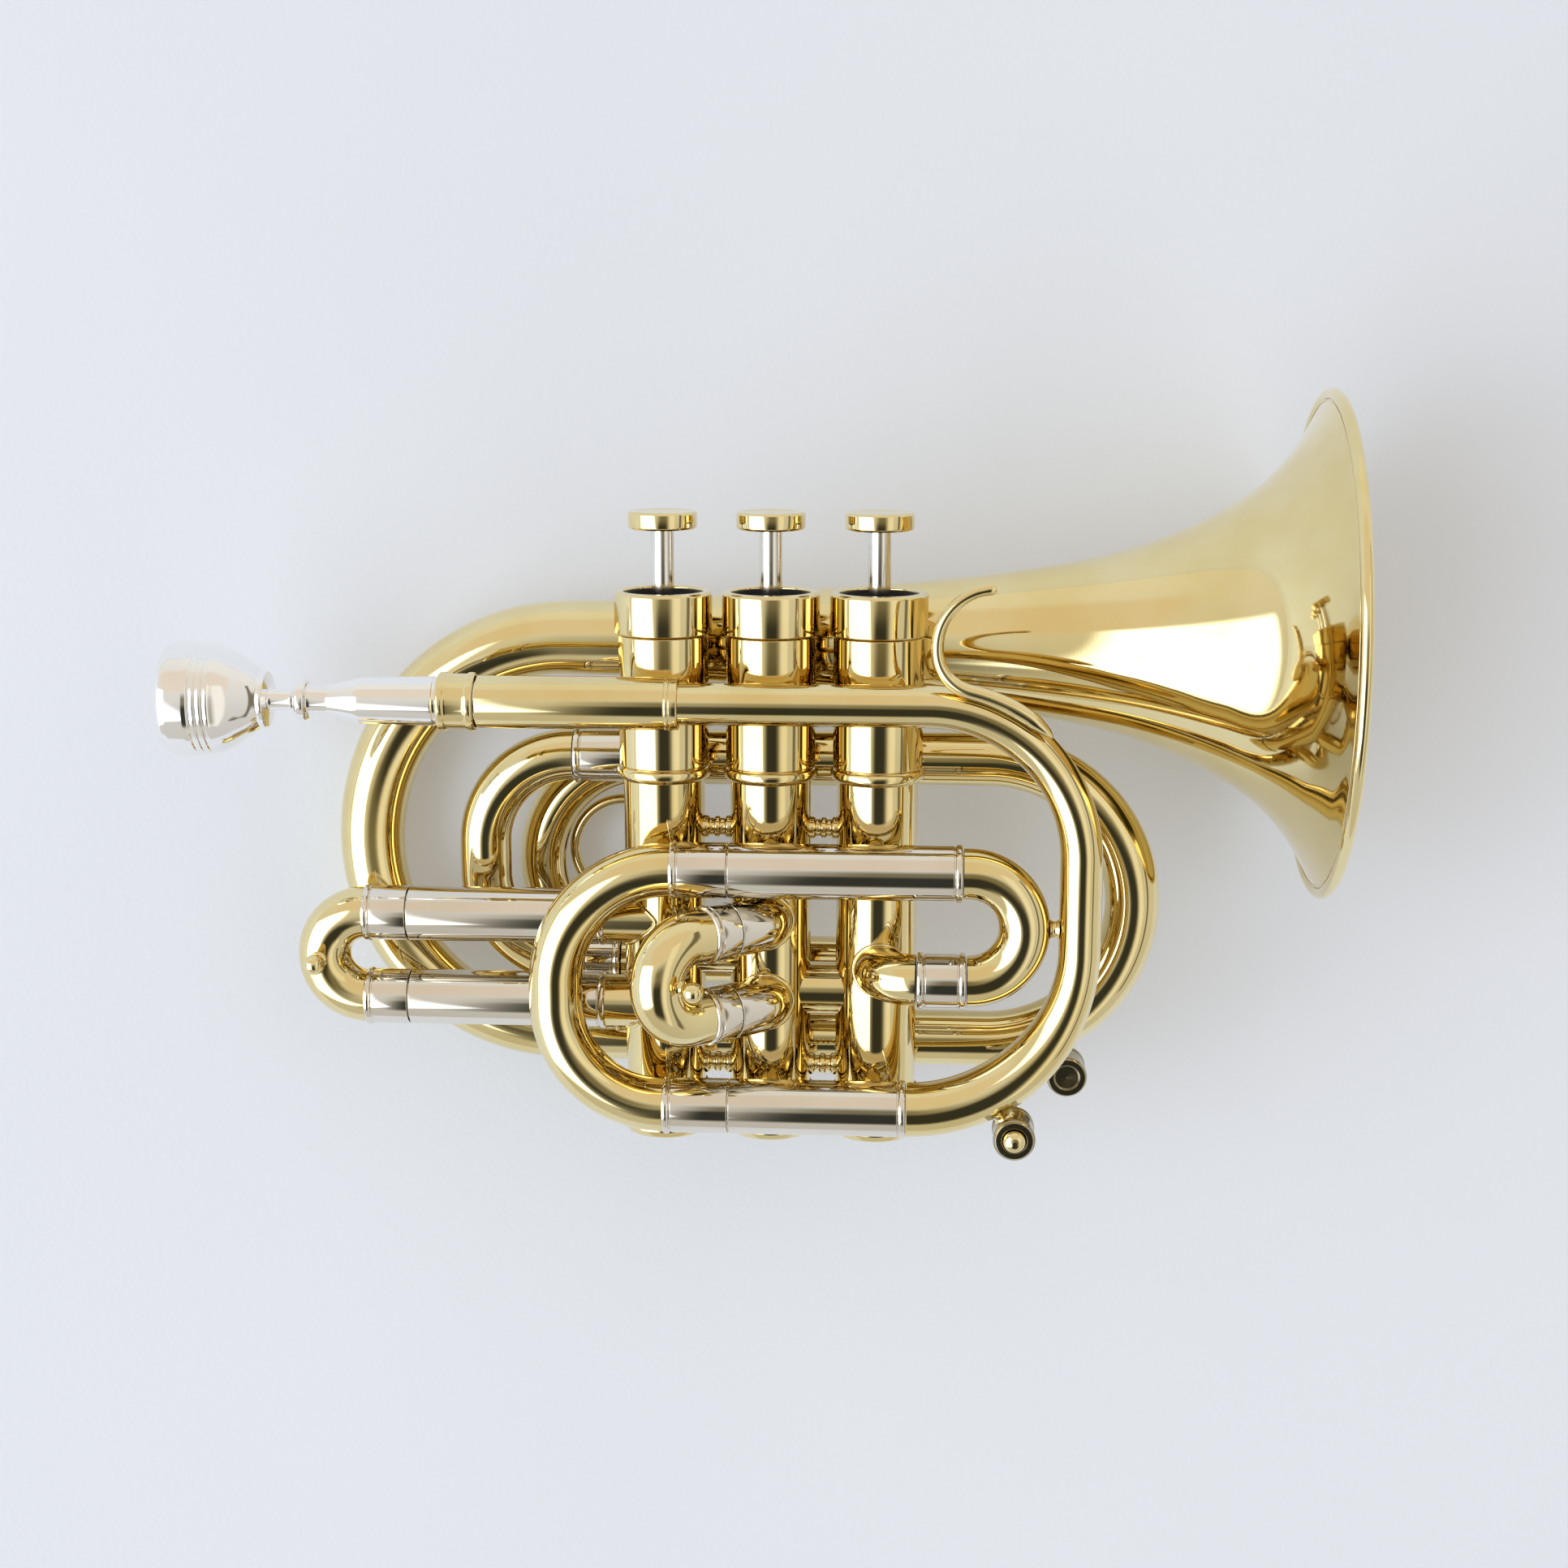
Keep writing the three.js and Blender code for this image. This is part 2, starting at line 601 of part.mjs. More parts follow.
// The coil spring under each piston, as the sleeve of space that its coils fill
function spring(number) {
  const foot = BOTTOM_CAP_FLOOR + JOINT_GAP;
  const top = PISTON_BLOCK_FOOT - JOINT_GAP;
  return turned([
    [SPRING_RADIUS - SPRING_WIRE, foot],
    [SPRING_RADIUS, foot],
    [SPRING_RADIUS, top],
    [SPRING_RADIUS - SPRING_WIRE, top],
  ], TUBE_SIDES, UP_VALVE, atValve(number, 0, 0, 0));
}

// A short strut between neighbouring casings, with a collar in its middle
function valveBrace(number, height) {
  const middle = VALVE_PITCH / 2;
  const end = middle - CASING_RADIUS - BRACE_COLLAR_WIDTH;
  const wide = BRACE_COLLAR_RADIUS;
  const slim = BRACE_BARREL_RADIUS;
  const half = BRACE_COLLAR_WIDTH / 2;
  const strut = turnedSolid([
    [0, 0],
    [wide, 0],
    [wide, middle - end],
    [slim, middle - end],
    [slim, middle - half],
    [wide, middle - half],
    [wide, middle + half],
    [slim, middle + half],
    [slim, middle + end],
    [wide, middle + end],
    [wide, VALVE_PITCH],
    [0, VALVE_PITCH],
  ], ROD_SIDES, TO_BELL, atValve(number, 0, height, 0));
  return fitTo(strut, number, number + 1);
}

// The tube between two neighbouring casings
function knuckle(number, height) {
  const line = new PipeLine(atValve(number, 0, height, 0), TO_BELL).straight(VALVE_PITCH);
  return fitTo(pipe(line, KNUCKLE_RADIUS, TUBE_BORE_RADIUS), number, number + 1);
}

// An outer slide tube: plain at its mouth, with a bead where it meets the fixed tubing
function outerTube(start, heading, length, radius) {
  const bore = radius - OUTER_SLIDE_WALL;
  const bead = radius + FERRULE_BEAD_PROUD;
  return turned([
    [bore, 0],
    [radius, 0],
    [radius, length - FERRULE_BEAD_WIDTH],
    [bead, length - FERRULE_BEAD_WIDTH],
    [bead, length],
    [bore, length],
  ], TUBE_SIDES, heading, start);
}

// A ferrule with a bead at each end
function ferrule(start, heading, length, radius) {
  const bead = radius + FERRULE_BEAD_PROUD;
  return turned([
    [TUBE_BORE_RADIUS, 0],
    [bead, 0],
    [bead, FERRULE_BEAD_WIDTH],
    [radius, FERRULE_BEAD_WIDTH],
    [radius, length - FERRULE_BEAD_WIDTH],
    [bead, length - FERRULE_BEAD_WIDTH],
    [bead, length],
    [TUBE_BORE_RADIUS, length],
  ], TUBE_SIDES, heading, start);
}

// An inner slide tube with its ferrule: the bead is at the bow, the bare tube runs in the outer one
function innerTube(start, heading, ferruleLength, insert, outerRadius) {
  const tube = outerRadius - OUTER_SLIDE_WALL - JOINT_GAP;
  const bore = tube - INNER_SLIDE_WALL;
  const bead = outerRadius + FERRULE_BEAD_PROUD;
  return turned([
    [bore, 0],
    [bead, 0],
    [bead, FERRULE_BEAD_WIDTH],
    [outerRadius, FERRULE_BEAD_WIDTH],
    [outerRadius, ferruleLength],
    [tube, ferruleLength],
    [tube, ferruleLength + insert],
    [bore, ferruleLength + insert],
  ], TUBE_SIDES, heading, start);
}

const front = (x, y) => new THREE.Vector3(x, y, FRONT_PLANE);

// Mouthpiece: the cup end faces the player, the shank runs inside the receiver
const SHANK_RADIUS = LEADPIPE_RADIUS;
function mouthpiece() {
  const rim = MOUTHPIECE_RIM_RADIUS;
  const length = MOUTHPIECE_INSERT_END - MOUTHPIECE_RIM_PLACE;
  // Outside, from the end of the shank back to the rim: shares of the rim radius and of the length
  const outsideShares = [
    [0.415, 0.738], [SHANK_MOUTH_SHARE, 0.736], [0.40, 0.52], [0.27, 0.438], [0.27, 0.38], [0.365, 0.38],
    [0.365, 0.35], [0.195, 0.335], [0.195, 0.27], [0.5, 0.27], [0.5, 0.25], [0.66, 0.222],
    [0.8, 0.188], [0.87, 0.164], [0.93, 0.144], [0.93, 0.118], [1, 0.092], [1, 0.018], [0.93, 0],
  ];
  // Inside, from the rim down the cup, through the throat and along the backbore
  const cupShares = [
    [0.9, 0], [1, 0.012], [0.96, 0.06], [0.78, 0.115], [0.42, 0.15],
  ];
  const outside = outsideShares.map(([radius, place]) => [radius * rim, place * length]);
  const cup = cupShares.map(([radius, place]) => [radius * MOUTHPIECE_CUP_RADIUS, place * length]);
  cup[0][0] = (rim + MOUTHPIECE_CUP_RADIUS) / 2;
  const [throat, throatEnd] = MOUTHPIECE_THROAT_SHARES.map((share) => share * length);
  const profile = [
    [MOUTHPIECE_BACKBORE_RADIUS, length],
    [SHANK_RADIUS, length],
    ...outside,
    ...cup,
    [MOUTHPIECE_THROAT_RADIUS, throat],
    [MOUTHPIECE_THROAT_RADIUS, throatEnd],
  ].reverse();
  return turned(profile, TUBE_SIDES, TO_BELL, front(MOUTHPIECE_RIM_PLACE, LEADPIPE_HEIGHT));
}

// The receiver ring round the mouthpiece, and the sleeve that joins it to the leadpipe
const RECEIVER_LENGTH = SLEEVE_START - JOINT_GAP - RECEIVER_START;
const SHANK_MOUTH_RADIUS = SHANK_MOUTH_SHARE * MOUTHPIECE_RIM_RADIUS;
function receiver() {
  const bore = SHANK_MOUTH_RADIUS + JOINT_GAP / 2;
  const groove = RECEIVER_RADIUS - RECEIVER_GROOVE;
  const land = RECEIVER_LENGTH * RECEIVER_LAND_SHARE;
  return turned([
    [bore, 0],
    [RECEIVER_RADIUS - RECEIVER_LIP, 0],
    [RECEIVER_RADIUS, RECEIVER_LIP],
    [RECEIVER_RADIUS, land],
    [groove, land + RECEIVER_GROOVE],
    [groove, RECEIVER_LENGTH - land - RECEIVER_GROOVE],
    [RECEIVER_RADIUS, RECEIVER_LENGTH - land],
    [RECEIVER_RADIUS, RECEIVER_LENGTH],
    [bore, RECEIVER_LENGTH],
  ], TUBE_SIDES, TO_BELL, front(RECEIVER_START, LEADPIPE_HEIGHT));
}

function sleeve() {
  const length = SLEEVE_END - SLEEVE_START;
  const seat = LEADPIPE_START - SLEEVE_START;
  const bore = LEADPIPE_RADIUS + JOINT_GAP;
  const mouth = SLEEVE_RADIUS - INNER_SLIDE_WALL / 2;
  const ring = SLEEVE_RADIUS + SLEEVE_RING_PROUD;
  return turned([
    [mouth, 0],
    [SLEEVE_RADIUS, 0],
    [SLEEVE_RADIUS, length - FERRULE_BEAD_WIDTH],
    [ring, length - FERRULE_BEAD_WIDTH],
    [ring, length],
    [bore, length],
    [bore, seat],
  ], TUBE_SIDES, TO_BELL, front(SLEEVE_START, LEADPIPE_HEIGHT));
}

// The leadpipe: straight past the valves, then round and down to the tuning slide, getting wider
const LEADPIPE_RUN = LEADPIPE_RIGHT - LEADPIPE_TOP_BEND - LEADPIPE_START;
function leadpipe() {
  const line = new PipeLine(front(LEADPIPE_START, LEADPIPE_HEIGHT), TO_BELL);
  line.straight(LEADPIPE_RUN);
  line.bend(LEADPIPE_TOP_BEND, QUARTER_ANGLE, DOWN_VALVE, WIDE_BEND_SIDES);
  line.straight(LEADPIPE_DROP);
  const widens = line.length;
  line.bend(LEADPIPE_LOWER_BEND, QUARTER_ANGLE, TO_PLAYER, WIDE_BEND_SIDES);
  const wideBy = widens + LEADPIPE_GROWTH_SHARE * (line.length - widens);
  const radiusAt = (share) => {
    const grown = THREE.MathUtils.smoothstep(share * line.length, widens, wideBy);
    return THREE.MathUtils.lerp(LEADPIPE_RADIUS, LEADPIPE_END_RADIUS, grown);
  };
  return taperedPipe(line, radiusAt, LEADPIPE_WALL);
}

// Tuning slide: two outer tubes that stay, and the bow with its two inner tubes that moves
const TUNING_LOWER_END = LEADPIPE_RIGHT - LEADPIPE_LOWER_BEND - JOINT_GAP;
function tuningOuterTube(height, end) {
  const mouth = TUNING_SEAM + JOINT_GAP;
  return outerTube(front(mouth, height), TO_BELL, end - mouth, OUTER_SLIDE_RADIUS);
}

function tuningSlide() {
  const legs = [
    [TUNING_UPPER_BEAD, TUNING_UPPER_HEIGHT],
    [TUNING_LOWER_BEAD, TUNING_LOWER_HEIGHT],
  ].map(([bead, height]) => {
    const start = front(bead, height);
    return innerTube(start, TO_BELL, TUNING_SEAM - bead, TUNING_INSERT, OUTER_SLIDE_RADIUS);
  });
  const line = new PipeLine(front(TUNING_UPPER_BEAD + FERRULE_BEAD_WIDTH, TUNING_UPPER_HEIGHT), TO_PLAYER);
  line.straight(FERRULE_BEAD_WIDTH);
  line.bend(TUNING_UPPER_BEND, QUARTER_ANGLE, DOWN_VALVE, WIDE_BEND_SIDES);
  line.straight(TUNING_UPPER_HEIGHT - TUNING_LOWER_HEIGHT - TUNING_UPPER_BEND - TUNING_LOWER_BEND);
  line.bend(TUNING_LOWER_BEND, QUARTER_ANGLE, TO_BELL, WIDE_BEND_SIDES);
  line.straight(TUNING_LOWER_BEAD + FERRULE_BEAD_WIDTH - line.place.x);
  return join(pipe(line, TUBE_RADIUS, TUBE_BORE_RADIUS), ...legs);
}

// From the tuning slide into valve 3: the bow has a dot of solder towards the leadpipe
const ENTRY_BEND = (TUNING_UPPER_HEIGHT - ENTRY_HEIGHT) / 2;
function entryBow() {
  const line = new PipeLine(front(TUNING_UPPER_END + JOINT_GAP, TUNING_UPPER_HEIGHT), TO_BELL);
  line.straight(ENTRY_BOW_LEAD);
  line.bend(ENTRY_BEND, Math.PI, DOWN_VALVE);
  line.straight(TUNING_UPPER_END + ENTRY_BOW_LEAD - ENTRY_FERRULE_END);
  const height = (TUNING_UPPER_HEIGHT + ENTRY_HEIGHT) / 2;
  const edge = line.stations[0].point.x + ENTRY_BOW_LEAD + ENTRY_BEND + ENTRY_BOW_RADIUS;
  const solder = rod(
    front(edge - LEADPIPE_WALL, height),
    front(LEADPIPE_RIGHT - LEADPIPE_RADIUS - JOINT_GAP, height),
    SOLDER_RADIUS,
  );
  return join(pipe(line, ENTRY_BOW_RADIUS, ENTRY_BOW_RADIUS - LEADPIPE_WALL), solder);
}

function entryFerrule() {
  const length = ENTRY_FERRULE_END - ENTRY_FERRULE_START;
  return ferrule(front(ENTRY_FERRULE_START, ENTRY_HEIGHT), TO_BELL, length, TUBE_RADIUS);
}

function entryElbow() {
  const line = new PipeLine(front(ENTRY_FERRULE_START - JOINT_GAP, ENTRY_HEIGHT), TO_PLAYER);
  line.bend(ENTRY_ELBOW_BEND, QUARTER_ANGLE, FAR);
  line.straight(FRONT_PLANE - ENTRY_ELBOW_BEND);
  return fitTo(pipe(line, ENTRY_BOW_RADIUS, ENTRY_BOW_RADIUS - LEADPIPE_WALL), 3);
}

// First slide
const firstPlace = (x, y) => new THREE.Vector3(x, y, FIRST_PLANE);

function firstOuterTube(height) {
  const mouth = FIRST_SEAM + JOINT_GAP;
  const bore = FIRST_SLIDE_RADIUS - OUTER_SLIDE_WALL;
  const bead = FIRST_SLIDE_RADIUS + FERRULE_BEAD_PROUD;
  const ring = FIRST_ROOT_RING - mouth;
  const length = valvePlace(1) - mouth;
  const tube = turned([
    [bore, 0],
    [FIRST_SLIDE_RADIUS, 0],
    [FIRST_SLIDE_RADIUS, ring],
    [bead, ring],
    [bead, ring + FERRULE_BEAD_WIDTH],
    [TUBE_RADIUS, ring + FERRULE_BEAD_WIDTH],
    [TUBE_RADIUS, length],
    [TUBE_BORE_RADIUS, length],
    [TUBE_BORE_RADIUS, ring],
    [bore, ring],
  ], TUBE_SIDES, TO_BELL, firstPlace(mouth, height));
  return fitTo(tube, 1);
}

function firstSlide() {
  const bend = (FIRST_UPPER_HEIGHT - FIRST_LOWER_HEIGHT) / 2;
  const legs = [FIRST_UPPER_HEIGHT, FIRST_LOWER_HEIGHT].map((height) => {
    const start = firstPlace(FIRST_BEAD, height);
    return innerTube(start, TO_BELL, FIRST_SEAM - FIRST_BEAD, FIRST_INSERT, FIRST_SLIDE_RADIUS);
  });
  const line = new PipeLine(firstPlace(FIRST_BEAD + FERRULE_BEAD_WIDTH, FIRST_UPPER_HEIGHT), TO_PLAYER);
  line.straight(FERRULE_BEAD_WIDTH).bend(bend, Math.PI, DOWN_VALVE).straight(FERRULE_BEAD_WIDTH);
  const foot = firstPlace(FIRST_BEAD - bend, FIRST_LOWER_HEIGHT + bend);
  const knob = pullKnob(foot.addScaledVector(NEAR, TUBE_BORE_RADIUS), NEAR);
  return join(pipe(line, TUBE_RADIUS, TUBE_BORE_RADIUS), knob, ...legs);
}

// A pull knob: a ball on a short stem, standing in the wall of a bow
function pullKnob(foot, axis) {
  const ball = KNOB_BALL_RADIUS;
  const centre = KNOB_STEM_LENGTH + ball;
  const seat = TUBE_RADIUS - TUBE_BORE_RADIUS;
  const profile = [[0, seat / 4], [2 * KNOB_STEM_RADIUS, seat / 4], [KNOB_STEM_RADIUS, 2 * seat]];
  for (let k = 1; k < KNOB_SIDES / 2; k += 1) {
    const angle = (FULL_TURN_ANGLE * k) / KNOB_SIDES;
    const place = centre - ball * Math.cos(angle);
    if (place > 2 * seat) profile.push([ball * Math.sin(angle), place]);
  }
  profile.push([0, centre + ball]);
  return turnedSolid(profile, ROD_SIDES, axis, foot);
}

// Second slide
function secondLeg(height) {
  const line = new PipeLine(atValve(2, SECOND_PORT_OFFSET, height, 0), NEAR);
  line.straight(SECOND_ELBOW_START);
  line.bend(SECOND_ELBOW_BEND, SECOND_ANGLE, TO_PLAYER);
  return line;
}

function secondOuterTube(height) {
  const line = secondLeg(height).straight(SECOND_SOCKET);
  return fitTo(pipe(line, OUTER_SLIDE_RADIUS, OUTER_SLIDE_RADIUS - OUTER_SLIDE_WALL), 2);
}

function secondSlide() {
  const bead = SECOND_SOCKET + JOINT_GAP + SECOND_FERRULE;
  const bend = (SECOND_UPPER_HEIGHT - SECOND_LOWER_HEIGHT) / 2;
  const back = secondFacing.clone().negate();
  const legs = [SECOND_UPPER_HEIGHT, SECOND_LOWER_HEIGHT].map((height) => {
    const start = secondLeg(height).straight(bead).place;
    return innerTube(start, back, SECOND_FERRULE, SECOND_INSERT, OUTER_SLIDE_RADIUS);
  });
  const start = secondLeg(SECOND_UPPER_HEIGHT).straight(bead - FERRULE_BEAD_WIDTH).place;
  const line = new PipeLine(start, secondFacing);
  line.straight(FERRULE_BEAD_WIDTH + SECOND_BOW_LEAD);
  line.bend(bend, Math.PI, DOWN_VALVE).straight(FERRULE_BEAD_WIDTH + SECOND_BOW_LEAD);
  const across = new THREE.Vector3().crossVectors(UP_VALVE, secondFacing);
  const foot = secondLeg(SECOND_LOWER_HEIGHT + bend).straight(bead + SECOND_BOW_LEAD + bend).place;
  const knob = pullKnob(foot.addScaledVector(across, TUBE_BORE_RADIUS), across);
  return join(pipe(line, TUBE_RADIUS, TUBE_BORE_RADIUS), knob, ...legs);
}

// Third slide
const thirdPlace = (x, y) => new THREE.Vector3(x, y, THIRD_PLANE);

// Both outer tubes run behind valves 2 and 3 and turn into valve 3; the upper one drops first
function thirdOuterTube(height, drop) {
  const mouth = THIRD_SEAM + JOINT_GAP;
  const line = new PipeLine(thirdPlace(mouth, height), TO_BELL);
  line.straight(valvePlace(3) - THIRD_DROP_BEND - mouth);
  if (drop > 0) line.bend(THIRD_DROP_BEND, QUARTER_ANGLE, DOWN_VALVE).straight(drop);
  line.bend(THIRD_DROP_BEND, QUARTER_ANGLE, NEAR).straight(-THIRD_PLANE - THIRD_DROP_BEND);
  return fitTo(pipe(line, THIRD_RADIUS, THIRD_RADIUS - OUTER_SLIDE_WALL), 3);
}

function thirdSlide() {
  const bend = (THIRD_UPPER_HEIGHT - THIRD_LOWER_HEIGHT) / 2;
  const legs = [THIRD_UPPER_HEIGHT, THIRD_LOWER_HEIGHT].map((height) => {
    const start = thirdPlace(THIRD_BEAD, height);
    return innerTube(start, TO_BELL, THIRD_SEAM - THIRD_BEAD, THIRD_INSERT, THIRD_RADIUS);
  });
  const line = new PipeLine(thirdPlace(THIRD_BEAD + FERRULE_BEAD_WIDTH, THIRD_UPPER_HEIGHT), TO_PLAYER);
  line.straight(FERRULE_BEAD_WIDTH);
  line.bend(bend, Math.PI, DOWN_VALVE, WIDE_BEND_SIDES).straight(FERRULE_BEAD_WIDTH);
  return join(pipe(line, THIRD_RADIUS, TUBE_BORE_RADIUS - JOINT_GAP), ...legs);
}

// The finger ring soldered inside the third slide's bow
function thirdRing() {
  const middle = (THIRD_UPPER_HEIGHT + THIRD_LOWER_HEIGHT) / 2;
  const bend = (THIRD_UPPER_HEIGHT - THIRD_LOWER_HEIGHT) / 2;
  const reach = bend - THIRD_RADIUS - THIRD_RING_RADIUS;
  const x = THIRD_BEAD + reach * Math.cos(THIRD_RING_ANGLE);
  const y = middle + reach * Math.sin(THIRD_RING_ANGLE);
  const outer = THIRD_RING_RADIUS;
  const inner = outer - THIRD_RING_THICKNESS;
  const half = THIRD_RING_THICKNESS / 2;
  return turned([
    [inner, -half / 2],
    [inner + half, -half],
    [outer, 0],
    [inner + half, half],
    [inner, half / 2],
  ], BELL_SIDES, NEAR, new THREE.Vector3(x, y, THIRD_PLANE - THIRD_RING_SET_BACK));
}

// The way out of valve 1
const backPlace = (x, y) => new THREE.Vector3(x, y, BACK_PLANE);

// A ferrule on the tubing of the back plane, a little wider than those of the slides
function crookFerrule(start, end, height) {
  return ferrule(backPlace(start, height), TO_BELL, end - start, TUBE_RADIUS + JOINT_GAP);
}

function exitElbow() {
  const run = valvePlace(1) - EXIT_ELBOW_BEND - EXIT_FERRULE_END - JOINT_GAP;
  const line = new PipeLine(backPlace(EXIT_FERRULE_END + JOINT_GAP, EXIT_HEIGHT), TO_BELL);
  line.straight(run).bend(EXIT_ELBOW_BEND, QUARTER_ANGLE, NEAR).straight(-BACK_PLANE - EXIT_ELBOW_BEND);
  return fitTo(pipe(line, TUBE_RADIUS, TUBE_BORE_RADIUS), 1);
}

function exitBow() {
  const line = new PipeLine(backPlace(EXIT_FERRULE_START - JOINT_GAP, EXIT_HEIGHT), TO_PLAYER);
  line.straight(EXIT_FERRULE_START - JOINT_GAP - EXIT_LEFT - EXIT_BEND);
  line.bend(EXIT_BEND, QUARTER_ANGLE, UP_VALVE);
  line.straight(UPPER_RUN_HEIGHT - EXIT_HEIGHT - 2 * EXIT_BEND);
  line.bend(EXIT_BEND, QUARTER_ANGLE, TO_BELL);
  line.straight(UPPER_FERRULE_START - JOINT_GAP - EXIT_LEFT - EXIT_BEND);
  return pipe(line, TUBE_RADIUS, TUBE_BORE_RADIUS);
}

const LOOP_BEND = (UPPER_RUN_HEIGHT - LOWER_RUN_HEIGHT) / 2;
// Upper run behind the valves, round the far right loop and back below, getting wider
function farLoop() {
  const line = new PipeLine(backPlace(UPPER_FERRULE_END + JOINT_GAP, UPPER_RUN_HEIGHT), TO_BELL);
  line.straight(LOOP_CENTRE - UPPER_FERRULE_END - JOINT_GAP);
  line.bend(LOOP_BEND, Math.PI, DOWN_VALVE, WIDE_BEND_SIDES);
  line.straight(LOOP_CENTRE - TAIL_END - JOINT_GAP / 2);
  const radiusAt = (share) => THREE.MathUtils.lerp(TUBE_RADIUS, LOOP_END_RADIUS, share);
  return taperedPipe(line, radiusAt, LEADPIPE_WALL);
}

// The tail bow carries the tube from the lower run up to the bell, and from the back plane to the
// bell's: a semicircle that leans, made of short steps
function tailBow() {
  const top = LOWER_RUN_HEIGHT + 2 * TAIL_BEND;
  const lean = BELL_PLANE - BACK_PLANE;
  const line = new PipeLine(backPlace(TAIL_END - JOINT_GAP / 2, LOWER_RUN_HEIGHT), TO_PLAYER);
  line.bend(TAIL_BEND, Math.PI, UP_VALVE, WIDE_BEND_SIDES);
  line.straight(BELL_JOINT - JOINT_GAP - TAIL_END);
  for (const station of line.stations) {
    const risen = (station.point.y - LOWER_RUN_HEIGHT) / (top - LOWER_RUN_HEIGHT);
    station.point.z += lean * THREE.MathUtils.smoothstep(risen, 0, 1);
  }
  const radiusAt = (share) => THREE.MathUtils.lerp(TAIL_START_RADIUS, TAIL_END_RADIUS, share);
  return taperedPipe(line, radiusAt, TAIL_WALL);
}

// Bell: outside radius from the joint to the rim, as shares of the rim radius and of the length
const BELL_LENGTH = BELL_RIM_PLACE - BELL_JOINT;
const BELL_FLARE_SHARES = [
  [0.1555, 0], [0.23, 0.409], [0.2925, 0.593], [0.3725, 0.727], [0.433, 0.787], [0.513, 0.8465],
  [0.621, 0.906], [0.743, 0.948], [0.866, 0.9775], [0.975, 0.9963],
];
const bellOutside = BELL_FLARE_SHARES.map(([radius, place]) => [
  Math.max(radius * BELL_RIM_RADIUS, TAIL_END_RADIUS),
  place * BELL_LENGTH,
]);
const bellStart = new THREE.Vector3(BELL_JOINT, BELL_HEIGHT, BELL_PLANE);

function bell() {
  const last = bellOutside.length - 1;
  const inside = bellOutside.map(([radius, place], k) => {
    const [nextRadius, nextPlace] = bellOutside[Math.min(k + 1, last)];
    const [lastRadius, lastPlace] = bellOutside[Math.max(k - 1, 0)];
    const slope = Math.atan2(nextRadius - lastRadius, nextPlace - lastPlace);
    return [radius - BELL_WALL * Math.cos(slope), place + BELL_WALL * Math.sin(slope)];
  });
  inside[0][1] = 0;
  const bead = BELL_BEAD_RADIUS;
  const rim = [
    [BELL_RIM_RADIUS, BELL_LENGTH - bead / 2],
    [BELL_RIM_RADIUS, BELL_LENGTH + bead / 2],
    [BELL_RIM_RADIUS - bead, BELL_LENGTH + bead],
  ];
  return turned([...bellOutside, ...rim, ...inside.reverse()], BELL_SIDES, TO_BELL, bellStart);
}

// The room that a stay leaves round the bell
function bellRoom() {
  const grown = bellOutside.map(([radius, place]) => [radius + JOINT_GAP, place]);
  return turnedSolid([[0, 0], ...grown, [0, grown.at(-1)[1]]], BELL_SIDES, TO_BELL, bellStart);
}

// The stay between valve 1 and the bell
function bellStay() {
  const casingEnd = atValve(1, 0, CASING_SHOULDER_HEIGHT - STAY_BELOW_SHOULDER, 0);
  const bellEnd = new THREE.Vector3(valvePlace(1), BELL_HEIGHT, BELL_PLANE);
  const upperCasing = casingRoom(1, CASING_UPPER_RADIUS, CASING_BALUSTER_HEIGHT, CASING_SHOULDER_HEIGHT);
  const cap = casingRoom(1, TOP_CAP_RADIUS, CASING_SHOULDER_HEIGHT, CAP_FOOT + TOP_CAP_HEIGHT);
  return cut(rod(casingEnd, bellEnd, STAY_RADIUS), upperCasing, cap, bellRoom());
}

// The little-finger hook: its foot lies along the outside of the leadpipe's upper bend
const leftOf = (heading) => new THREE.Vector3().crossVectors(NEAR, heading);
const rightOf = (heading) => leftOf(heading).negate();
function pinkyHook() {
  const lift = LEADPIPE_RADIUS + HOOK_ROD_RADIUS + JOINT_GAP;
  const centre = front(LEADPIPE_RIGHT - LEADPIPE_TOP_BEND, LEADPIPE_HEIGHT - LEADPIPE_TOP_BEND);
  const footRadius = LEADPIPE_TOP_BEND + lift * Math.cos(HOOK_LEAN_ANGLE);
  const outwards = new THREE.Vector3(Math.cos(HOOK_FOOT_ANGLE), Math.sin(HOOK_FOOT_ANGLE), 0);
  const start = centre.clone().addScaledVector(outwards, footRadius);
  start.addScaledVector(NEAR, lift * Math.sin(HOOK_LEAN_ANGLE));
  const line = new PipeLine(start, leftOf(outwards));
  line.bend(footRadius, HOOK_SWEEP_ANGLE, leftOf(line.heading), WIDE_BEND_SIDES);
  line.bend(HOOK_NECK_BEND, HOOK_FOOT_ANGLE + HOOK_SWEEP_ANGLE, rightOf(line.heading));
  line.straight(HOOK_NECK_RUN);
  line.bend(HOOK_CROOK_BEND, QUARTER_ANGLE, rightOf(line.heading));
  return pipe(line, HOOK_ROD_RADIUS, 0, ROD_SIDES);
}

// A water key on the outside of a bend: a barrel across the tube, with a sprung button in it
function keyPlace(key) {
  const away = key.bend + key.tubeRadius + KEY_SADDLE_HEIGHT + KEY_BARREL_RADIUS;
  const outwards = new THREE.Vector3(Math.cos(key.angle), Math.sin(key.angle), 0);
  return { outwards, centre: key.centre.clone().addScaledVector(outwards, away) };
}

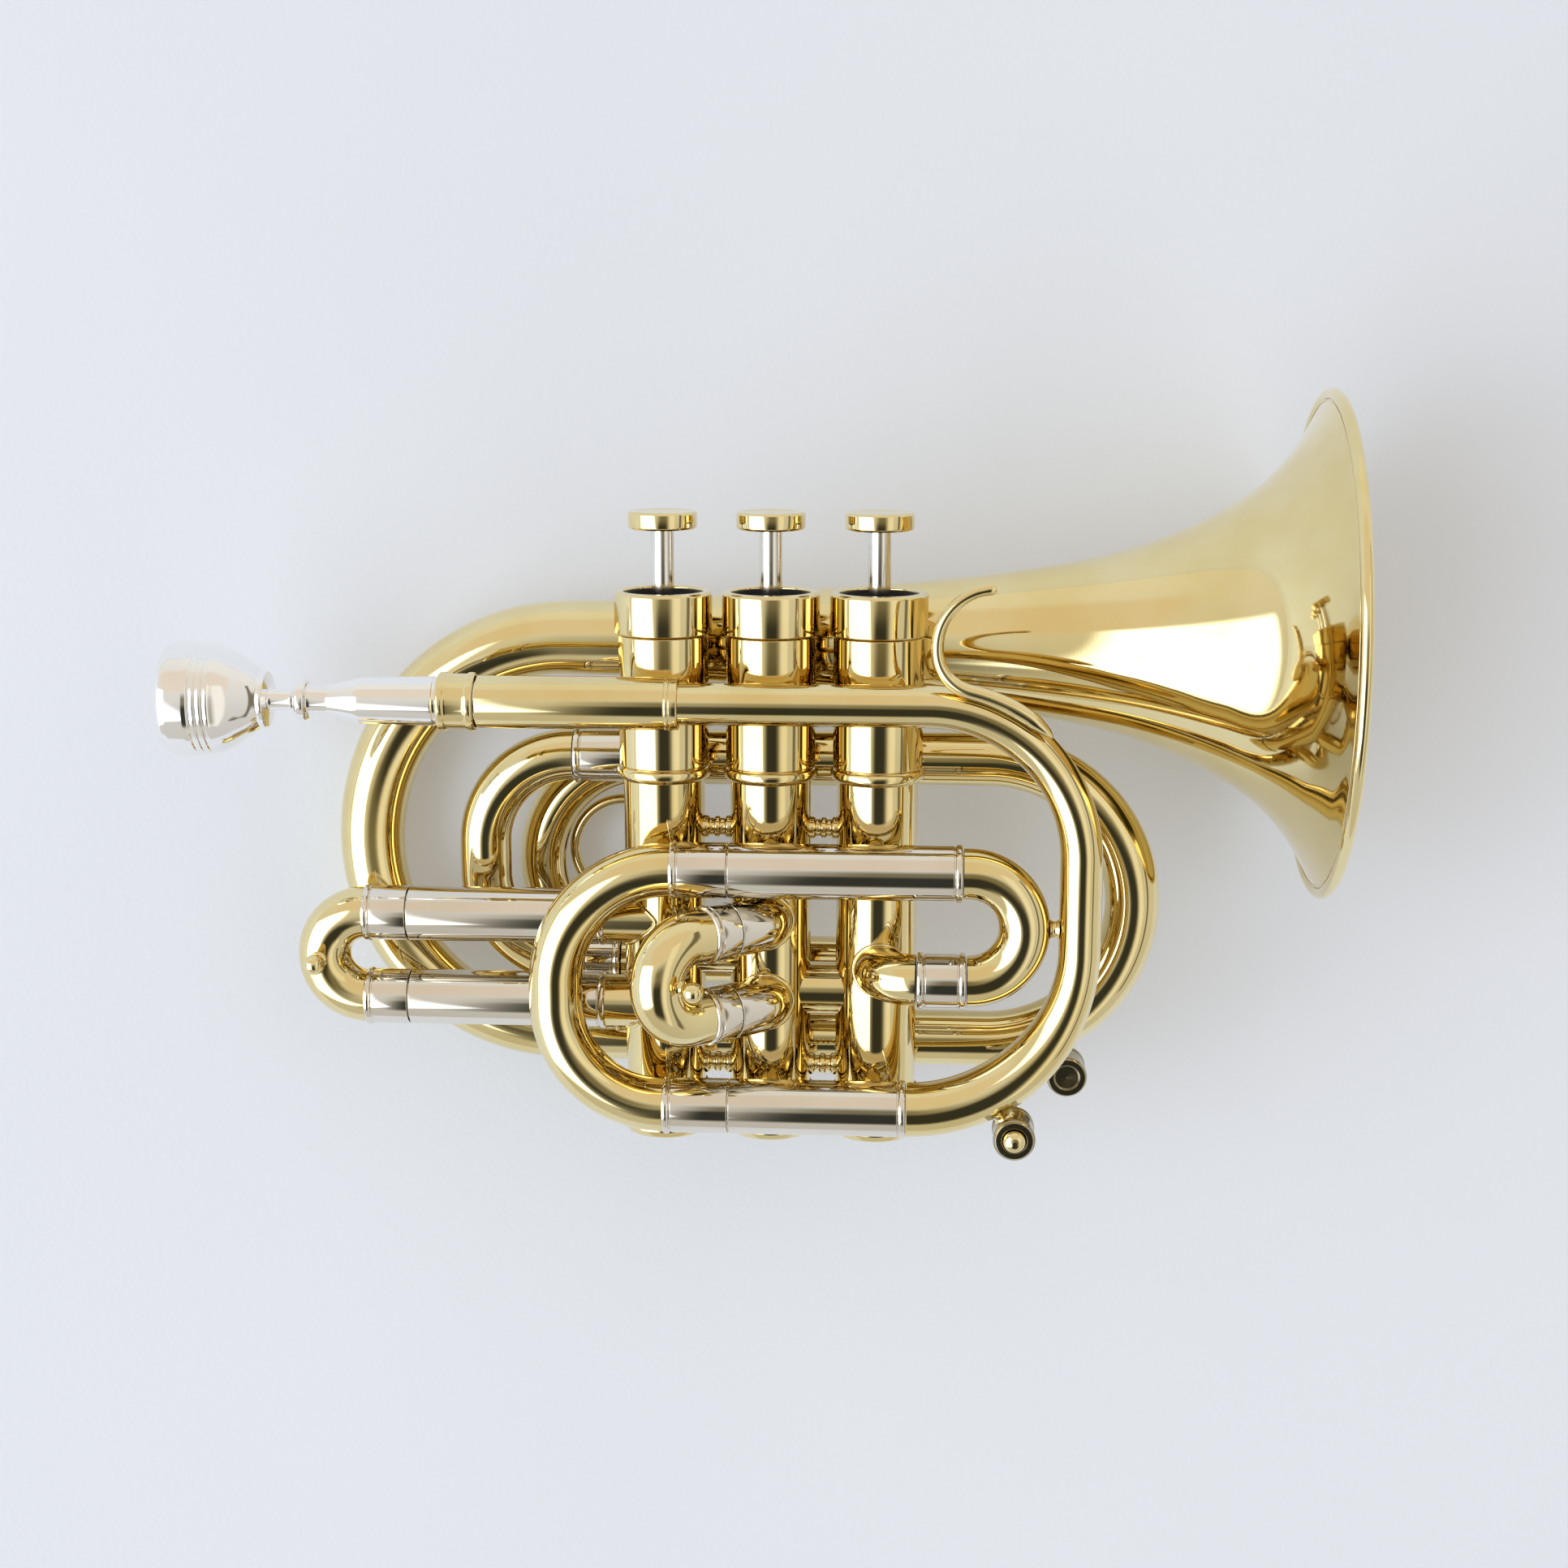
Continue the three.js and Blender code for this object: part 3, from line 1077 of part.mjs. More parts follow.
const KEY_FRONT = {
  centre: front(LEADPIPE_RIGHT - LEADPIPE_LOWER_BEND, TUNING_LOWER_HEIGHT + LEADPIPE_LOWER_BEND),
  bend: LEADPIPE_LOWER_BEND,
  tubeRadius: LEADPIPE_END_RADIUS,
  angle: -KEY_FRONT_ANGLE,
  facing: NEAR,
};
const KEY_BACK = {
  centre: new THREE.Vector3(LOOP_CENTRE, LOWER_RUN_HEIGHT + LOOP_BEND, BACK_PLANE),
  bend: LOOP_BEND,
  tubeRadius: LOOP_END_RADIUS,
  angle: -KEY_BACK_ANGLE,
  facing: FAR,
};

// How far a bend's chord lies inside its true circle at an angle measured from the bend's start
function chordDip(bend, angle) {
  const step = FULL_TURN_ANGLE / WIDE_BEND_SIDES;
  return bend * (1 - Math.cos(step / 2) / Math.cos((angle % step) - step / 2));
}

function keyBarrel(key) {
  const { outwards, centre } = keyPlace(key);
  const start = centre.clone().addScaledVector(key.facing, -KEY_BARREL_LENGTH / 2);
  const bore = KEY_BUTTON_RADIUS + JOINT_GAP;
  const barrel = turnedSolid([
    [0, 0],
    [KEY_BARREL_RADIUS, 0],
    [KEY_BARREL_RADIUS, KEY_BARREL_LENGTH],
    [bore, KEY_BARREL_LENGTH],
    [bore, KEY_BARREL_FLOOR],
    [0, KEY_BARREL_FLOOR],
  ], VALVE_SIDES, key.facing, start);
  const dip = chordDip(key.bend, Math.abs(key.angle));
  const reach = KEY_BARREL_RADIUS + KEY_SADDLE_HEIGHT + dip - JOINT_GAP;
  const seat = centre.clone().addScaledVector(outwards, -reach);
  const inside = centre.clone().addScaledVector(outwards, -(KEY_BUTTON_RADIUS + 2 * JOINT_GAP));
  return join(barrel, rod(inside, seat, KEY_SADDLE_RADIUS));
}

function keyButton(key) {
  const { centre } = keyPlace(key);
  const start = centre.clone().addScaledVector(key.facing, -KEY_BARREL_LENGTH / 2);
  const foot = KEY_BARREL_FLOOR + KEY_TRAVEL + JOINT_GAP;
  const dome = KEY_DOME_SHARES.map(([radius, proud]) => [
    radius * KEY_BUTTON_RADIUS,
    KEY_BARREL_LENGTH + proud * KEY_BUTTON_PROUD,
  ]);
  return turnedSolid([[0, foot], [KEY_BUTTON_RADIUS, foot], ...dome], TUBE_SIDES, key.facing, start);
}

// Every piece by name
const valves = [1, 2, 3];
const pieces = [
  ['bell', bell(), LACQUERED_BRASS],
  ['tail_bow', tailBow(), LACQUERED_BRASS],
  ['far_loop', farLoop(), LACQUERED_BRASS],
  ['upper_ferrule', crookFerrule(UPPER_FERRULE_START, UPPER_FERRULE_END, UPPER_RUN_HEIGHT), NICKEL_SILVER],
  ['exit_ferrule', crookFerrule(EXIT_FERRULE_START, EXIT_FERRULE_END, EXIT_HEIGHT), NICKEL_SILVER],
  ['exit_bow', exitBow(), LACQUERED_BRASS],
  ['exit_elbow', exitElbow(), LACQUERED_BRASS],
  ...valves.map((number) => [`casing_${number}`, casing(number), LACQUERED_BRASS]),
  ...valves.map((number) => [`top_cap_${number}`, topCap(number), LACQUERED_BRASS]),
  ...valves.map((number) => [`bottom_cap_${number}`, bottomCap(number), LACQUERED_BRASS]),
  ['knuckle_12', knuckle(1, KNUCKLE_12_HEIGHT), LACQUERED_BRASS],
  ['knuckle_23', knuckle(2, KNUCKLE_23_HEIGHT), LACQUERED_BRASS],
  ['valve_brace_12_lower', valveBrace(1, BRACE_LOWER_HEIGHT), LACQUERED_BRASS],
  ['valve_brace_23_lower', valveBrace(2, BRACE_LOWER_HEIGHT), LACQUERED_BRASS],
  ['valve_brace_12_upper', valveBrace(1, CASING_BALUSTER_HEIGHT - BRACE_BELOW_BALUSTER), LACQUERED_BRASS],
  ['valve_brace_23_upper', valveBrace(2, CASING_BALUSTER_HEIGHT - BRACE_BELOW_BALUSTER), LACQUERED_BRASS],
  ['receiver', receiver(), LACQUERED_BRASS],
  ['leadpipe_sleeve', sleeve(), LACQUERED_BRASS],
  ['leadpipe', leadpipe(), LACQUERED_BRASS],
  ['tuning_outer_upper', tuningOuterTube(TUNING_UPPER_HEIGHT, TUNING_UPPER_END), NICKEL_SILVER],
  ['tuning_outer_lower', tuningOuterTube(TUNING_LOWER_HEIGHT, TUNING_LOWER_END), NICKEL_SILVER],
  ['entry_bow', entryBow(), LACQUERED_BRASS],
  ['entry_ferrule', entryFerrule(), NICKEL_SILVER],
  ['entry_elbow', entryElbow(), LACQUERED_BRASS],
  ['first_outer_upper', firstOuterTube(FIRST_UPPER_HEIGHT), NICKEL_SILVER],
  ['first_outer_lower', firstOuterTube(FIRST_LOWER_HEIGHT), NICKEL_SILVER],
  ['second_outer_upper', secondOuterTube(SECOND_UPPER_HEIGHT), NICKEL_SILVER],
  ['second_outer_lower', secondOuterTube(SECOND_LOWER_HEIGHT), NICKEL_SILVER],
  ['third_outer_upper', thirdOuterTube(THIRD_UPPER_HEIGHT, THIRD_DROP_RUN), LACQUERED_BRASS],
  ['third_outer_lower', thirdOuterTube(THIRD_LOWER_HEIGHT, 0), LACQUERED_BRASS],
  ['pinky_hook', pinkyHook(), LACQUERED_BRASS],
  ['bell_stay', bellStay(), LACQUERED_BRASS],
  ['water_key_barrel_front', keyBarrel(KEY_FRONT), DARK_STEEL],
  ['water_key_barrel_back', keyBarrel(KEY_BACK), DARK_STEEL],
  ...valves.map((number) => [`piston_${number}`, piston(number), NICKEL_SILVER]),
  ...valves.map((number) => [`stem_${number}`, stem(number), STEEL]),
  ...valves.map((number) => [`button_${number}`, button(number), LACQUERED_BRASS]),
  ...valves.map((number) => [`spring_${number}`, spring(number), STEEL]),
  ['tuning_slide', tuningSlide(), LACQUERED_BRASS],
  ['first_slide', firstSlide(), LACQUERED_BRASS],
  ['second_slide', secondSlide(), LACQUERED_BRASS],
  ['third_slide', thirdSlide(), LACQUERED_BRASS],
  ['third_slide_ring', thirdRing(), LACQUERED_BRASS],
  ['mouthpiece', mouthpiece(), SILVER_PLATE],
  ['water_key_button_front', keyButton(KEY_FRONT), LACQUERED_BRASS],
  ['water_key_button_back', keyButton(KEY_BACK), LACQUERED_BRASS],
];

const instrument = new THREE.Group();
const byName = {};
for (const [name, geometry, material] of pieces) {
  const mesh = new THREE.Mesh(geometry, material);
  mesh.name = name;
  byName[name] = mesh;
  instrument.add(mesh);
}

// The instrument lies on three pieces: the table is the plane that touches all of them
function lowestPoint(mesh, upwards) {
  const { position } = mesh.geometry.attributes;
  const point = new THREE.Vector3();
  let lowest = null;
  for (let i = 0; i < position.count; i += 1) {
    point.fromBufferAttribute(position, i);
    if (!lowest || point.dot(upwards) < lowest.dot(upwards)) lowest = point.clone();
  }
  return lowest;
}

function tableNormal(supports) {
  const upwards = NEAR.clone();
  for (let round = 0; round < LEVELLING_ROUNDS_COUNT; round += 1) {
    const [a, b, c] = supports.map((mesh) => lowestPoint(mesh, upwards));
    upwards.crossVectors(b.sub(a), c.sub(a)).normalize();
    if (upwards.z < 0) upwards.negate();
  }
  return upwards;
}

const upwards = tableNormal([byName.bell, byName.third_slide, byName.tail_bow]);
instrument.quaternion.setFromUnitVectors(upwards, NEAR);
instrument.updateMatrixWorld(true);
const box = new THREE.Box3().setFromObject(instrument, true);
const middle = box.getCenter(new THREE.Vector3());
instrument.position.set(-middle.x, -middle.y, -box.min.z);

const trumpet = new THREE.Group();
trumpet.add(instrument);
export default trumpet;
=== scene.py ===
# %% [markdown]
# # A pocket trumpet in lacquered brass
# A pocket trumpet is a whole trumpet wound up small: the same length of tube, folded round three
# valves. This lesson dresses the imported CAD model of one. The CAD is faceted, to stay light for the
# motion checks, so each tube is swept again along the same centre line with a round section, each
# turned piece is turned again from a finer profile, and everything gets a procedural metal.

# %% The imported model
import json
import math

import bmesh
import bpy
import numpy as np
from mathutils import Matrix, Vector


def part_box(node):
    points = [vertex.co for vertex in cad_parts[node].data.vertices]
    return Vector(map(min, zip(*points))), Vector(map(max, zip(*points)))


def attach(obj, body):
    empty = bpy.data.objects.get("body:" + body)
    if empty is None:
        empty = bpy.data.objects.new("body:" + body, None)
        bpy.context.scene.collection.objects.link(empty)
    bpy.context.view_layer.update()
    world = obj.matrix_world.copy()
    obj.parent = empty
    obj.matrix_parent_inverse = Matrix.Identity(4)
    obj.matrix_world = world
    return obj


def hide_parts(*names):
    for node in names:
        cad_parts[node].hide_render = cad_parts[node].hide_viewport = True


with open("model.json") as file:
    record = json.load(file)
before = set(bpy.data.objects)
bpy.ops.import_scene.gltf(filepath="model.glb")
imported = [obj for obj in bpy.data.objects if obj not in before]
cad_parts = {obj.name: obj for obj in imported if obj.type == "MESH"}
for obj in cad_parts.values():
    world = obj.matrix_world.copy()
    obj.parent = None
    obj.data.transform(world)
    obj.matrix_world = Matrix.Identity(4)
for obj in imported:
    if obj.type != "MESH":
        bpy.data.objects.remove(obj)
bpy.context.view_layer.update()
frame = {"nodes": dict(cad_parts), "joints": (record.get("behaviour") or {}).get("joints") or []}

# %% [markdown]
# ## The instrument's own axes
# The trumpet is drawn upright, in millimetres, with X from the mouthpiece to the bell, Y up the valves
# and Z towards the near side. It lies tilted on the table, though. Its tilt could be typed in again,
# but then it would be wrong after the next change of the CAD, so it is read back from two joints (the
# tuning slide is drawn along -X, a valve is pressed along -Y) and from the place of the middle button.

# %% Reading the tilt back
MM = 0.001
joint_axes = {joint["name"]: Vector(joint["axis"]).normalized() for joint in frame["joints"]}
axis_x = -joint_axes["tuning_slide_pull"]
axis_y = -joint_axes["valve_1_press"]
axis_z = axis_x.cross(axis_y).normalized()
BUTTON_FOOT, BUTTON_TOP = 144.3, 148.5
low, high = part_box("button_2")
origin = (low + high) / 2 - axis_y * (BUTTON_FOOT + BUTTON_TOP) / 2 * MM
REST = Matrix((
    (axis_x.x * MM, axis_y.x * MM, axis_z.x * MM, origin.x),
    (axis_x.y * MM, axis_y.y * MM, axis_z.y * MM, origin.y),
    (axis_x.z * MM, axis_y.z * MM, axis_z.z * MM, origin.z),
    (0, 0, 0, 1),
))
REST_ARRAY = np.array(REST)
print("origin of the instrument in the row frame:", [round(v, 4) for v in origin])

# %% [markdown]
# ## Sizes that many pieces share
# A maker works from a few gauges: the bores of the tubes, the spacing of the valves, and the planes in
# which the tubes lie. These are the CAD part's own millimetres. What only one piece needs is named in
# that piece's cell.

# %% Shared sizes
X, Y, Z = np.eye(3)
VALVES = {1: -25.0, 2: 0.0, 3: 25.0}
CASING_R, TUBE_R, OUTER_R = 9.5, 6.2, 6.4
FRONT_Z, BACK_Z, BELL_Z = 17.2, -17.6, -25.2
print("valve spacing:", VALVES[2] - VALVES[1], "mm")

# %% [markdown]
# ## Centre lines
# A bent tube is known by its centre line. It could be drawn by hand as a curve, but a fitter's way is
# shorter and exact: straight runs and round bends, one after the other, with a point every few
# degrees. Each point also keeps how far along the path it is.

# %% Laying a centre line
class Path:
    """A centre line that grows by straight runs and round bends."""

    def __init__(self, start, heading):
        self.points = [np.array(start, float)]
        self.heading = np.array(heading, float) / np.linalg.norm(heading)

    @property
    def end(self):
        return self.points[-1]

    def straight(self, length, step=3.0):
        count = max(1, math.ceil(abs(length) / step))
        start = self.end
        for k in range(1, count + 1):
            self.points.append(start + self.heading * length * k / count)
        return self

    def bend(self, radius, angle, towards, step=3.0):
        towards = np.array(towards, float) / np.linalg.norm(towards)
        start, ahead = self.end, self.heading
        count = max(3, math.ceil(math.degrees(angle) / step))
        for k in range(1, count + 1):
            turned = angle * k / count
            side = towards * radius * (1 - math.cos(turned))
            self.points.append(start + side + ahead * radius * math.sin(turned))
        self.heading = ahead * math.cos(angle) + towards * math.sin(angle)
        return self

    def lengths(self):
        points = np.array(self.points)
        steps = np.linalg.norm(np.diff(points, axis=0), axis=1)
        return np.concatenate([[0.0], np.cumsum(steps)])


def smooth(share):
    """Eases a share from 0 to 1, level at both ends."""
    share = np.clip(share, 0, 1)
    return share * share * (3 - 2 * share)


print("a quarter bend has", len(Path((0, 0, 0), X).bend(30, math.pi / 2, Y).points), "points")

# %% [markdown]
# ## The sweep
# Real tubes are drawn straight and bent round a former, so that they stay round all along a bend. A
# bevelled curve object could show that, but it has no inner wall. One Geometry Nodes group does it
# all: the line of points becomes a curve, and a circle is swept along it, scaled at each point by the
# radius stored there. What is stored on the line, such as the distance along it, stays on the mesh.

# %% The sweep's inputs
def socket(tree, name, kind, into="INPUT", value=None):
    """Adds a named input or output to a node group."""
    made = tree.interface.new_socket(name=name, in_out=into, socket_type=kind)
    if value is not None:
        made.default_value = value
    return made


sweep = bpy.data.node_groups.new("Sweep along a line", "GeometryNodeTree")
socket(sweep, "Line", "NodeSocketGeometry")
SIDES_ID = socket(sweep, "Sides", "NodeSocketInt", value=48).identifier
CAPS_ID = socket(sweep, "Closed ends", "NodeSocketBool", value=True).identifier
WALL_ID = socket(sweep, "Wall", "NodeSocketFloat", value=0.0).identifier
METAL_ID = socket(sweep, "Metal", "NodeSocketMaterial").identifier
socket(sweep, "Tube", "NodeSocketGeometry", into="OUTPUT")
nodes, links = sweep.nodes, sweep.links
given = nodes.new("NodeGroupInput")
print("sweep inputs:", [item.name for item in sweep.interface.items_tree if item.in_out == "INPUT"])

# %% [markdown]
# The outside of the tube: a circle of radius 1, scaled at each point, swept along the curve.

# %% The outer wall
to_curve = nodes.new("GeometryNodeMeshToCurve")
radius = nodes.new("GeometryNodeInputNamedAttribute")
radius.data_type = "FLOAT"
radius.inputs["Name"].default_value = "radius_here"
circle = nodes.new("GeometryNodeCurvePrimitiveCircle")
circle.inputs["Radius"].default_value = 1.0
to_mesh = nodes.new("GeometryNodeCurveToMesh")
links.new(given.outputs["Line"], to_curve.inputs["Mesh"])
links.new(given.outputs["Sides"], circle.inputs["Resolution"])
links.new(to_curve.outputs["Curve"], to_mesh.inputs["Curve"])
links.new(circle.outputs["Curve"], to_mesh.inputs["Profile Curve"])
links.new(radius.outputs["Attribute"], to_mesh.inputs["Scale"])
links.new(given.outputs["Closed ends"], to_mesh.inputs["Fill Caps"])
print("outer wall:", len(sweep.nodes), "nodes so far")

# %% [markdown]
# A brass tube is thin, and its open end shows the thickness. So a second sweep, smaller by the wall,
# is turned inside out and joined to the first, where a wall is asked for. The group ends with the
# instances made real and the metal set, because the export keeps only that.

# %% The inner wall and the result
thinner = nodes.new("ShaderNodeMath")
thinner.operation = "SUBTRACT"
inner = nodes.new("GeometryNodeCurveToMesh")
turn_in = nodes.new("GeometryNodeFlipFaces")
hollow = nodes.new("FunctionNodeCompare")
hollow.operation = "GREATER_THAN"
keep = nodes.new("GeometryNodeSwitch")
keep.input_type = "GEOMETRY"
both = nodes.new("GeometryNodeJoinGeometry")
links.new(radius.outputs["Attribute"], thinner.inputs[0])
links.new(given.outputs["Wall"], thinner.inputs[1])
links.new(to_curve.outputs["Curve"], inner.inputs["Curve"])
links.new(circle.outputs["Curve"], inner.inputs["Profile Curve"])
links.new(thinner.outputs["Value"], inner.inputs["Scale"])
links.new(inner.outputs["Mesh"], turn_in.inputs["Mesh"])
links.new(given.outputs["Wall"], hollow.inputs["A"])
links.new(hollow.outputs["Result"], keep.inputs["Switch"])
links.new(turn_in.outputs["Mesh"], keep.inputs["True"])
links.new(keep.outputs["Output"], both.inputs["Geometry"])
links.new(to_mesh.outputs["Mesh"], both.inputs["Geometry"])
shade = nodes.new("GeometryNodeSetShadeSmooth")
realize = nodes.new("GeometryNodeRealizeInstances")
paint = nodes.new("GeometryNodeSetMaterial")
result = nodes.new("NodeGroupOutput")
links.new(both.outputs["Geometry"], shade.inputs["Geometry"])
links.new(shade.outputs["Geometry"], realize.inputs["Geometry"])
links.new(realize.outputs["Geometry"], paint.inputs["Geometry"])
links.new(given.outputs["Metal"], paint.inputs["Material"])
links.new(paint.outputs["Geometry"], result.inputs["Tube"])
print("sweep group:", len(sweep.nodes), "nodes")

# %% [markdown]
# ## Onto the table
# A piece is drawn upright in millimetres and has to lie on the table in metres. Turning its object
# would do, but the export puts every object at the origin, so the points themselves are moved.

# %% Between the instrument and the table
def in_row(points):
    """From the instrument's millimetres to the table's metres."""
    points = np.asarray(points, float)
    return points @ REST_ARRAY[:3, :3].T + REST_ARRAY[:3, 3]


def in_instrument(points):
    """And back: REST is a turn times MM, so its inverse is its transpose over MM squared."""
    return (np.asarray(points, float) - REST_ARRAY[:3, 3]) @ REST_ARRAY[:3, :3] / MM**2


print("top of the middle button, in metres:", in_row([(0, BUTTON_TOP, 0)]).round(4))

# %% [markdown]
# ## Finishing a piece
# Every piece ends as a plain mesh with its faces outward. It rides on the body that it moves with,
# stands for its node in the CAD, and says what it is made of. Names of finishes lead to their
# materials.

# %% Outward faces, body and node
FINISHES = {}


def outward(mesh):
    """Turns the faces round if they enclose a negative volume."""
    positions = np.zeros(len(mesh.vertices) * 3)
    mesh.vertices.foreach_get("co", positions)
    positions = positions.reshape(-1, 3)
    mesh.calc_loop_triangles()
    corners = np.zeros(len(mesh.loop_triangles) * 3, int)
    mesh.loop_triangles.foreach_get("vertices", corners)
    a, b, c = positions[corners.reshape(-1, 3)].transpose(1, 0, 2)
    centre = positions.mean(0)
    if np.einsum("ij,ij->i", a - centre, np.cross(b - centre, c - centre)).sum() < 0:
        mesh.flip_normals()


def finish_piece(name, mesh, body, node=None, sharp=None):
    """Makes the mesh an object that rides on its body; edges over `sharp` degrees stay crisp."""
    outward(mesh)
    if sharp is not None:
        mesh.set_sharp_from_angle(angle=math.radians(sharp))
    piece = bpy.data.objects.new(name, mesh)
    bpy.context.scene.collection.objects.link(piece)
    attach(piece, body)
    if node:
        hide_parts(*([node] if isinstance(node, str) else node))
    return piece


# %% [markdown]
# ## Tubes soldered to a casing
# The two walls of a hollow tube are closed at its ends. Where a tube is soldered to a valve, its end
# is cut to the curve of the casing. A boolean could cut it, but pressing the points that are inside
# the casing back into its wall is quicker and leaves no thin slivers.

# %% Closing the ends, and keeping out of a casing
PRESSED_R = 9.05


def close_walls(mesh, rows, sides):
    """Joins the outer and inner walls of a hollow tube at both ends."""
    made = bmesh.new()
    made.from_mesh(mesh)
    made.verts.ensure_lookup_table()
    other = rows * sides
    for row in (0, rows - 1):
        for k in range(sides):
            a, b = row * sides + k, row * sides + (k + 1) % sides
            face = made.faces.new([made.verts[i] for i in (a, b, other + b, other + a)])
            face.smooth = True
    bmesh.ops.recalc_face_normals(made, faces=made.faces)
    made.to_mesh(mesh)
    made.free()


def keep_out(mesh, valve):
    """Presses whatever is inside a casing back into the thickness of its wall."""
    positions = np.zeros(len(mesh.vertices) * 3)
    mesh.vertices.foreach_get("co", positions)
    points = in_instrument(positions.reshape(-1, 3))
    across = points[:, [0, 2]] - np.array([VALVES[valve], 0.0])
    reach = np.maximum(np.linalg.norm(across, axis=1), 1e-6)
    grown = np.where(reach < PRESSED_R, PRESSED_R / reach, 1.0)
    points[:, [0, 2]] = across * grown[:, None] + np.array([VALVES[valve], 0.0])
    mesh.vertices.foreach_set("co", in_row(points).ravel())


print("a tube's end is pressed out to", PRESSED_R, "mm from the casing's axis")

# %% [markdown]
# ## Bending a tube
# This puts the sweep to work: the line with its radii, the modifier with its inputs, and the
# evaluated result as a mesh of its own.

# %% A swept tube
TUBE_SIDES = 48


def sweep_tube(name, points, radii, metal, body, node=None, sides=TUBE_SIDES, closed=False,
               wall=0.0, into=()):
    """Sweeps a tube; into lists the valves whose casings it is soldered to."""
    if isinstance(points, Path):
        points = points.points
    points = np.asarray(points, float)
    keep = np.concatenate([[True], np.linalg.norm(np.diff(points, axis=0), axis=1) > 1e-6])
    radii = np.broadcast_to(np.asarray(radii, float), (len(points),))[keep]
    points = points[keep]
    radii = radii * MM
    line = bpy.data.meshes.new(name + "_line")
    edges = [(k, k + 1) for k in range(len(points) - 1)]
    if closed:
        edges.append((len(points) - 1, 0))
    line.from_pydata([tuple(p) for p in in_row(points)], edges, [])
    steps = np.linalg.norm(np.diff(points, axis=0), axis=1)
    along = np.concatenate([[0.0], np.cumsum(steps)]) * MM
    for label, values in (("radius_here", radii), ("along", along)):
        layer = line.attributes.new(label, "FLOAT", "POINT")
        layer.data.foreach_set("value", np.ascontiguousarray(values, np.float32))
    maker = bpy.data.objects.new(name + "_maker", line)
    bpy.context.scene.collection.objects.link(maker)
    modifier = maker.modifiers.new("Sweep", "NODES")
    modifier.node_group = sweep
    modifier[SIDES_ID] = sides
    modifier[CAPS_ID] = not closed and wall == 0
    modifier[WALL_ID] = wall * MM
    modifier[METAL_ID] = FINISHES[metal]
    bpy.context.view_layer.update()
    graph = bpy.context.evaluated_depsgraph_get()
    mesh = bpy.data.meshes.new_from_object(maker.evaluated_get(graph), depsgraph=graph)
    mesh.name = name
    bpy.data.objects.remove(maker)
    bpy.data.meshes.remove(line)
    if wall:
        close_walls(mesh, len(points), sides)
    for valve in into:
        keep_out(mesh, valve)
    return finish_piece(name, mesh, body, node, sharp=50)


print("a swept tube has", TUBE_SIDES, "sides unless told otherwise")

# %% [markdown]
# ## Turning on the lathe
# Caps, buttons, beads and the bell are round about one axis, and a maker turns them or spins them on
# a mandrel. Blender's Screw modifier could do it too. Here the rings are laid point by point, so that
# the poles and seams are closed and every ring knows its place along the piece. Sharp corners catch
# no light, so each corner of a profile is rounded first.

# %% Rounding a profile
def axis_frame(axis):
    axis = np.array(axis, float) / np.linalg.norm(axis)
    helper = Y if abs(axis[1]) < 0.9 else X
    across = np.cross(helper, axis)
    across /= np.linalg.norm(across)
    return axis, across, np.cross(axis, across)


def rounded(profile, size, steps=3):
    """The profile with each inner corner replaced by a small arc."""
    points = [np.array(p, float) for p in profile]
    out = [points[0]]
    for before, corner, after in zip(points, points[1:], points[2:]):
        back, ahead = before - corner, after - corner
        near, far = np.linalg.norm(back), np.linalg.norm(ahead)
        if near < 1e-6 or far < 1e-6:
            continue
        reach = min(size, near * 0.45, far * 0.45)
        start, end = corner + back / near * reach, corner + ahead / far * reach
        for k in range(steps + 1):
            t = k / steps
            out.append((1 - t) ** 2 * start + 2 * t * (1 - t) * corner + t * t * end)
    out.append(points[-1])
    return np.array(out)


print("a rounded square corner has", len(rounded([(1, 0), (1, 1), (0, 1)], 0.2)), "points")

# %% A turned piece
TURNED_SIDES = 96


def lathe(name, profile, start, axis, metal, body, node=None, sides=TURNED_SIDES, soft=0.15, sharp=40,
          closed=False):
    """Turns (radius, place) points; a closed profile joins its last point to its first."""
    profile = np.asarray(profile, float)
    if closed:
        profile = np.vstack([profile, profile[:1]])
    if soft:
        profile = rounded(profile, soft)
    axis, across, other = axis_frame(axis)
    angles = np.arange(sides) * 2 * math.pi / sides
    rings = (np.cos(angles)[:, None] * across + np.sin(angles)[:, None] * other)
    rows = len(profile) - (1 if closed else 0)
    points, along = [], []
    for radius_here, place in profile[:rows]:
        points.append(np.array(start, float) + axis * place + rings * max(radius_here, 1e-4))
        along.append(np.full(sides, place * MM))
    points = in_row(np.concatenate(points))
    faces = []
    last = rows if closed else rows - 1
    for row in range(last):
        ahead = (row + 1) % rows
        for k in range(sides):
            m = (k + 1) % sides
            faces.append((row * sides + k, row * sides + m, ahead * sides + m, ahead * sides + k))
    if not closed:
        faces.append(tuple(range(sides))[::-1])
        faces.append(tuple((rows - 1) * sides + k for k in range(sides)))
    mesh = bpy.data.meshes.new(name)
    mesh.from_pydata([tuple(p) for p in points], [], faces)
    layer = mesh.attributes.new("along", "FLOAT", "POINT")
    layer.data.foreach_set("value", np.concatenate(along).astype(np.float32))
    mesh.materials.append(FINISHES[metal])
    mesh.polygons.foreach_set("use_smooth", [True] * len(mesh.polygons))
    return finish_piece(name, mesh, body, node, sharp)


print("a turned piece has", TURNED_SIDES, "sides unless told otherwise")

# %% [markdown]
# ## Beads and arcs
# Two round shapes come up in nearly every profile: the bead that stiffens a tube's end, and a plain
# arc of a ball or a rolled rim.

# %% Round shapes in a profile
def bead(radius_here, place, width, proud, steps=6):
    """Points of a round bead on a tube, from its start to its end along the tube."""
    turned = np.linspace(0, math.pi, steps + 1)
    return [(radius_here + proud * math.sin(a), place + width * (1 - math.cos(a)) / 2) for a in turned]


